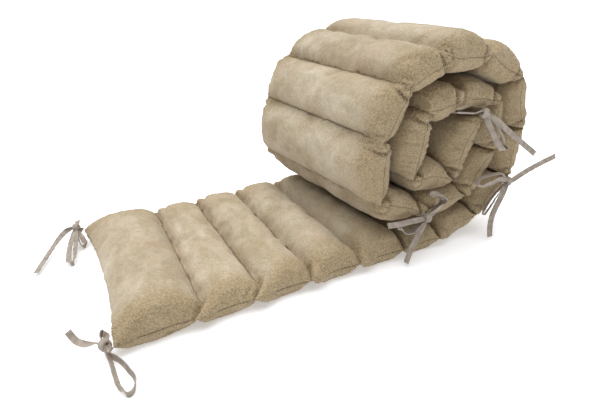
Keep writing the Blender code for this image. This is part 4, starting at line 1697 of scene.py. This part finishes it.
BOWS = (
    Sewn("tie_1_near", 0, False, BOW_ON_THE_FLOOR_NEAR),
    Sewn("tie_1_far", 0, True, BOW_ON_THE_FLOOR_FAR),
    Sewn("tie_2_near", 8, False, BOW_WITH_HANGING_END),
    Sewn("tie_2_far", 8, True, BOW_BETWEEN_THE_LAYERS),
    Sewn("tie_3_near", 16, False, BOW_BETWEEN_THE_LAYERS),
    Sewn("tie_3_far", 16, True, BOW_IN_THE_CORE),
    Sewn("tie_4_near", 24, False, BOW_IN_THE_CORE),
    Sewn("tie_4_far", 24, True, BOW_WITH_HANGING_END),
)


class TubeWork:
    """Gathers tubes of rings, with their flat coordinates, into one mesh."""

    def __init__(self) -> None:
        """Starts with nothing."""
        self.points: list[np.ndarray] = []
        self.places: list[np.ndarray] = []
        self.faces: list[list[int]] = []
        self.count = 0

    def add(self, rings: np.ndarray, places: np.ndarray, closed: bool = False) -> None:
        """Adds a tube.

        Args:
            rings: Its points, (rings, points of a ring, 3), each ring running the right-handed way round.
            places: Their flat coordinates, (rings, points of a ring, 2).
            closed: Whether the last ring joins the first. Otherwise both ends get a cap.
        """
        rows, ring = rings.shape[:2]
        number = self.count + np.arange(rows * ring).reshape(rows, ring)
        self.points.append(rings.reshape(-1, 3))
        self.places.append(places.reshape(-1, 2))
        self.count += rows * ring
        here = number if closed else number[:-1]
        there = np.roll(number, -1, axis=0) if closed else number[1:]
        ahead = [np.roll(part, -1, axis=1) for part in (here, there)]
        quads = np.stack([here, ahead[0], ahead[1], there], axis=-1)
        self.faces += quads.reshape(-1, 4).tolist()
        if not closed:
            self.cap(number[0], True)
            self.cap(number[-1], False)

    def cap(self, end: np.ndarray, turned: bool) -> None:
        """Closes an end with a row of faces across it.

        Args:
            end: The numbers of its ring's points.
            turned: Whether the faces look back along the tube.
        """
        ring = len(end)
        for i in range(ring // 2):
            strip = (end[i], end[i + 1], end[ring - 1 - i], end[(ring - i) % ring])
            corners = list(dict.fromkeys(int(j) for j in strip))
            if len(corners) > 2:
                self.faces.append(corners[::-1] if turned else corners)

    def mesh(self, name: str) -> bpy.types.Mesh:
        """Makes one mesh of all the tubes, its faces turned outwards, with its UV map.

        Args:
            name: The mesh's name.

        Returns:
            The mesh.
        """
        mesh = mesh_of(name, np.vstack(self.points), self.faces)
        write_coordinates(mesh, np.vstack(self.places))
        work = bmesh.new()
        work.from_mesh(mesh)
        bmesh.ops.recalc_face_normals(work, faces=work.faces[:])
        work.to_mesh(mesh)
        work.free()
        return mesh


TAPE_SECTION = (
    (-1, 0), (-0.985, 0.8), (-0.93, 1), (-0.84, 0.95), (-0.75, 0.62), (-0.4, 0.55), (0, 0.55),
    (0.4, 0.55), (0.75, 0.62), (0.84, 0.95), (0.93, 1), (0.985, 0.8), (1, 0), (0.985, -0.8),
    (0.93, -1), (0.84, -0.95), (0.75, -0.62), (0.4, -0.55), (0, -0.55), (-0.4, -0.55), (-0.75, -0.62),
    (-0.84, -0.95), (-0.93, -1), (-0.985, -0.8),
)  # a tape's section: shares of its half width and half thickness, with both edges turned and stitched


class Wrap(NamedTuple):
    """A turn of tape round a knot: half its width in millimetres, its reach as a share of the knot's
    radii, and the phase of its ridges."""

    half_width: float
    reach: float
    phase: float

    def section(self, turns: np.ndarray, reach: np.ndarray) -> tuple[np.ndarray, np.ndarray]:
        """Shapes the wrap's rings: ridged and rounded outside, and sunk into the knot.

        Args:
            turns: The angle of each ring.
            reach: How far the knot reaches at each of them.

        Returns:
            How far out each point of each ring lies, and how far to the side.
        """
        share = np.linspace(-1, 1, 13)
        round_off = (1 - abs(share) ** 3.5) ** 0.5
        ridge = 0.32 * MM * np.cos(7.5 * share + 1.2 * np.sin(2 * turns + self.phase)[:, None])
        top = reach[:, None] + (2.0 * round_off - 1.6) * MM + ridge * round_off
        under = np.broadcast_to(0.45 * reach[:, None], top.shape)
        depth = np.concatenate([top, under[:, -2:0:-1]], axis=1)
        wide = np.concatenate([share, share[-2:0:-1]]) * (self.half_width * MM)
        return depth, wide * (1 - 0.12 * np.cos(2 * turns + self.phase)[:, None])


TYING_WRAP = Wrap(3.2, 0.98, 5)
UNDER_WRAP = Wrap(4.4, 1.08, 6)


@dataclass
class TieBow:
    """A bow at a corner of the strip: two cotton tapes, each with its loop and its free end, and a knot."""

    sewn: Sewn
    strip: Strip
    material: bpy.types.Material
    width: float = 8 * MM
    thickness: float = 1.3 * MM
    sample: float = 0.5 * MM
    curve_steps: int = 40
    blur: int = 5
    easy_bend: float = 12 * MM
    pinch: float = 0.36
    pinch_reach: float = 8 * MM
    fold: float = 0.5 * MM  # the lengthwise folds of the tape where the knot pinches it
    wobble: Waviness = Waviness(0.22 * MM, 9 * MM, 30 * MM, 31)
    knot_radii: tuple[float, float, float] = (6.6 * MM, 5.6 * MM, 7 * MM)
    wrap_rings: int = 56

    def corner(self) -> tuple[np.ndarray, np.ndarray]:
        """Finds the corner that the bow is sewn to.

        Returns:
            Its place, and the signs that turn the tapes' routes there.
        """
        y = WIDTH if self.sewn.far else 0.0
        x, z = self.strip.corners(y)[self.sewn.seam]
        return np.array([x - MIDDLE, y - WIDTH / 2, z]), np.array([1, 1 if self.sewn.far else -1, 1])

    def knot_place(self) -> np.ndarray:
        """The middle of the knot."""
        corner, turned = self.corner()
        return corner + turned * np.array(self.sewn.bow.knot) * MM

    def facing(self) -> np.ndarray:
        """The way the tapes' flat sides look where their turn is 0."""
        return unit(self.corner()[1] * np.array(self.sewn.bow.facing))

    def blurred(self, rows: np.ndarray) -> np.ndarray:
        """The rows' running mean.

        Args:
            rows: The rows.

        Returns:
            As many rows.
        """
        padded = np.pad(rows, ((self.blur, self.blur), (0, 0)), mode="edge")
        total = np.cumsum(np.vstack([np.zeros(rows.shape[1]), padded]), axis=0)
        return (total[2 * self.blur + 1:] - total[: -2 * self.blur - 1]) / (2 * self.blur + 1)

    def smooth_line(self, points: np.ndarray) -> np.ndarray:
        """Draws a smooth curve through points.

        Args:
            points: Rows of x, y, z and turn.

        Returns:
            Evenly spaced rows along the curve.
        """
        before = np.vstack([2 * points[0] - points[1], points[:-1]])
        after = np.vstack([points[1:], 2 * points[-1] - points[-2]])
        slopes = (after - before) / 2
        t = np.linspace(0, 1, self.curve_steps, endpoint=False)[:, None]
        fine = [
            (2 * t**3 - 3 * t**2 + 1) * start
            + (t**3 - 2 * t**2 + t) * out
            + (3 * t**2 - 2 * t**3) * end
            + (t**3 - t**2) * into
            for start, end, out, into in zip(points, points[1:], slopes, slopes[1:])
        ]
        fine = np.vstack([*fine, points[-1:]])
        run = np.append(0, np.cumsum(np.linalg.norm(np.diff(fine[:, :3], axis=0), axis=1)))
        places = np.linspace(0, run[-1], round(run[-1] / self.sample) + 1)
        return np.stack([np.interp(places, run, column) for column in fine.T], axis=1)

    def sides(self, line: np.ndarray) -> tuple[np.ndarray, np.ndarray]:
        """Which way a tape's width and thickness lie. A tape bends flatwise only.

        Args:
            line: Rows of x, y, z and turn along the tape.

        Returns:
            Unit vectors across the tape's width, and through its thickness.
        """
        path, turn = line[:, :3], np.radians(line[:, 3:])
        forward = unit(self.blurred(np.gradient(path, axis=0)))
        flat = unit(np.cross(forward, self.facing()))
        across = np.cos(turn) * flat + np.sin(turn) * np.cross(forward, flat)
        bend = self.blurred(np.gradient(forward, axis=0)) / self.sample
        size = np.linalg.norm(bend, axis=1, keepdims=True)
        share = np.clip(size * self.easy_bend, 0, 1) ** 2
        square = unit(np.cross(forward, bend / np.maximum(size, 1e-9)) + 1e-9)
        square *= np.where((across * square).sum(1, keepdims=True) < 0, -1, 1)
        across = self.blurred(unit((1 - share) * across + share * square))
        across = unit(across - (across * forward).sum(1, keepdims=True) * forward)
        return across, np.cross(forward, across)

    def tape(self, number: int, route: Sequence) -> tuple[bpy.types.Object, np.ndarray]:
        """Makes one tape.

        Args:
            number: 0 or 1, its place in the bow.
            route: Its places, as the bow's table gives them.

        Returns:
            The tape's object and the line it follows.
        """
        corner, turned = self.corner()
        places = np.array(route, float)
        places[:, :3] = corner + turned * places[:, :3] * MM
        places[:, 3] *= -turned[1]
        line = self.smooth_line(places)
        across, through = self.sides(line)
        kept = np.unique(np.append(np.arange(0, len(line), 2), len(line) - 1))
        path, across, through = line[kept, :3], across[kept], through[kept]
        run = kept * self.sample
        near = hump(np.linalg.norm(path - self.knot_place(), axis=1), self.pinch_reach)
        half_width = self.width / 2 * (1 - self.pinch * near)
        half_depth = self.thickness / 2 * (1 + 0.5 * near)
        seed = self.wobble.seed + 2 * self.sewn.seam + number + (50 if self.sewn.far else 0)
        wobble = self.wobble._replace(seed=seed).over(run[:, None])

        section = np.array(TAPE_SECTION)
        folds = self.fold * near[:, None] * np.cos(3.2 * np.pi * section[:, 0])
        depth = half_depth[:, None] * section[:, 1] + folds + wobble[:, None]
        wide = half_width[:, None] * section[:, 0]
        rings = path[:, None] + across[:, None] * wide[..., None] + through[:, None] * depth[..., None]
        flat = np.meshgrid(run, section[:, 0] * self.width / 2, indexing="ij")
        work = TubeWork()
        work.add(rings, np.stack(flat, axis=-1))
        obj = place_object(f"{self.sewn.name}_tape_{'ab'[number]}", work.mesh("tape"))
        obj.data.materials.append(self.material)
        return obj, line[:, :3]

    def knot(self, way: np.ndarray) -> bpy.types.Object:
        """Makes the knot: two turns of gathered tape, one across the other.

        Args:
            way: The way the tapes leave the knot.

        Returns:
            The knot's object.
        """
        middle, facing = self.knot_place(), self.facing()
        radii = np.array(self.knot_radii)
        work = TubeWork()
        turns = np.linspace(0, 2 * np.pi, self.wrap_rings, endpoint=False)
        first = unit(way - 0.2 * facing)
        second = unit(np.cross(facing, first) + 0.75 * first)
        for axis, wrap in ((second, TYING_WRAP), (first, UNDER_WRAP)):
            u = unit(np.cross(axis, facing))
            v = np.cross(axis, u)
            out = np.cos(turns)[:, None] * u + np.sin(turns)[:, None] * v
            reach = 0.92 * wrap.reach / np.linalg.norm(out / radii, axis=1)
            depth, wide = wrap.section(turns, reach)
            rings = middle + out[:, None] * depth[..., None] + axis * wide[..., None]
            run = np.broadcast_to((turns * radii.mean())[:, None], depth.shape)
            work.add(rings, np.stack([run, wide], axis=-1), closed=True)
        obj = place_object(f"{self.sewn.name}_knot", work.mesh("knot"))
        obj.data.materials.append(self.material)
        return obj

    def build(self) -> int:
        """Makes the bow's three pieces and hides its solid part.

        Returns:
            The number of faces.
        """
        made = [self.tape(number, route) for number, route in enumerate(self.sewn.bow.tapes)]
        path = made[0][1]
        inside = np.linalg.norm((path - self.knot_place()) / self.knot_radii, axis=1) < 1
        way = unit(np.gradient(path, axis=0)[np.flatnonzero(inside)[-1]])
        knot = self.knot(way)
        pieces = (knot, made[0][0], made[1][0])
        for obj in pieces:
            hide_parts(self.sewn.name)
            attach(obj, BODY)
        return sum(len(obj.data.polygons) for obj in pieces)


@dataclass
class Studio:
    """The room the bumper lies in: a pale floor, soft light from above and the camera."""

    eye: tuple[float, float, float] = (-0.3028427, -0.5857209, 0.3849609)
    yaw: float = 27.24808
    pitch: float = 26.43984
    roll: float = -1.137139
    lens: float = 27.537
    sensor: float = 36.0
    far_clip: float = 100.0
    floor_size: float = 24.0
    floor_drop: float = 0.2 * MM
    floor_colour: Colour = (0.87, 0.885, 0.92)
    floor_glow: float = 0.36
    sky: float = 0.31
    sun: float = 3.4
    sun_spread: float = 75.0
    sun_place: tuple[float, float, float] = (-0.04, 0.2, 1.0)

    def camera(self) -> bpy.types.Object:
        """Puts the camera at the photograph's place.

        Returns:
            The camera.
        """
        yaw, pitch, roll = np.radians([self.yaw, self.pitch, self.roll])
        right = np.array([np.cos(yaw), -np.sin(yaw), 0])
        ahead = np.array([np.sin(yaw) * np.cos(pitch), np.cos(yaw) * np.cos(pitch), -np.sin(pitch)])
        up = np.cross(right, ahead)
        side = right * np.cos(roll) + up * np.sin(roll)
        top = -right * np.sin(roll) + up * np.cos(roll)
        data = bpy.data.cameras.new("camera")
        data.sensor_width = self.sensor
        data.lens = self.lens
        data.clip_end = self.far_clip
        camera = bpy.data.objects.new("camera", data)
        turn = Matrix(np.stack([side, top, -ahead], axis=1).tolist()).to_4x4()
        camera.matrix_world = Matrix.Translation(self.eye) @ turn
        bpy.context.scene.collection.objects.link(camera)
        bpy.context.scene.camera = camera
        return camera

    def floor(self) -> bpy.types.Object:
        """Lays the floor, which isn't part of the object.

        Returns:
            The floor.
        """
        half = self.floor_size / 2
        corners = [(x, y, -self.floor_drop) for x, y in ((-half, -half), (half, -half), (half, half),
                                                         (-half, half))]
        obj = place_object("floor", mesh_of("floor", np.array(corners), [(0, 1, 2, 3)]))
        tree = FabricTree("floor_paper")
        tree.set(Socket.COLOUR, (*self.floor_colour, 1.0))
        tree.set(Socket.ROUGHNESS, 0.9)
        tree.set(Socket.SPECULAR, 0.0)
        tree.shader.inputs["Emission Color"].default_value = (1, 1, 1, 1)
        tree.shader.inputs["Emission Strength"].default_value = self.floor_glow
        obj.data.materials.append(tree.material)
        return obj

    def lamp(self) -> bpy.types.Object:
        """Hangs a broad soft light above, a little behind and to the left.

        Returns:
            The lamp.
        """
        data = bpy.data.lights.new("overhead", "SUN")
        data.energy = self.sun
        data.angle = np.radians(self.sun_spread)
        lamp = bpy.data.objects.new("overhead", data)
        lamp.rotation_euler = Vector(self.sun_place).to_track_quat("Z", "Y").to_euler()
        bpy.context.scene.collection.objects.link(lamp)
        return lamp

    def light(self) -> None:
        """Lights the room: white surroundings and the lamp."""
        world = bpy.data.worlds.new("studio")
        world.use_nodes = True
        background = world.node_tree.nodes["Background"]
        background.inputs["Color"].default_value = (1, 1, 1, 1)
        background.inputs["Strength"].default_value = self.sky
        scene = bpy.context.scene
        scene.world = world
        scene.view_settings.view_transform = "Standard"
        self.lamp()


def main() -> None:
    """Builds the scene from the camera outwards and reports each piece."""
    logging.basicConfig(level=logging.INFO, format="%(message)s", stream=sys.stdout)
    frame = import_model()
    LOG.info("%d nodes in the frame", len(frame["nodes"]))
    studio = Studio()
    studio.camera()
    strip = Strip()
    tape = TapeFinish().material()
    for sewn in BOWS:
        LOG.info("%s: %d faces in all", sewn.name, TieBow(sewn, strip, tape).build())
    padded = strip.build()
    Sewing().build(strip.sewn_lines(padded.data))
    OpenPile().build(padded)
    studio.floor()
    studio.light()


if __name__ == "__main__":
    main()
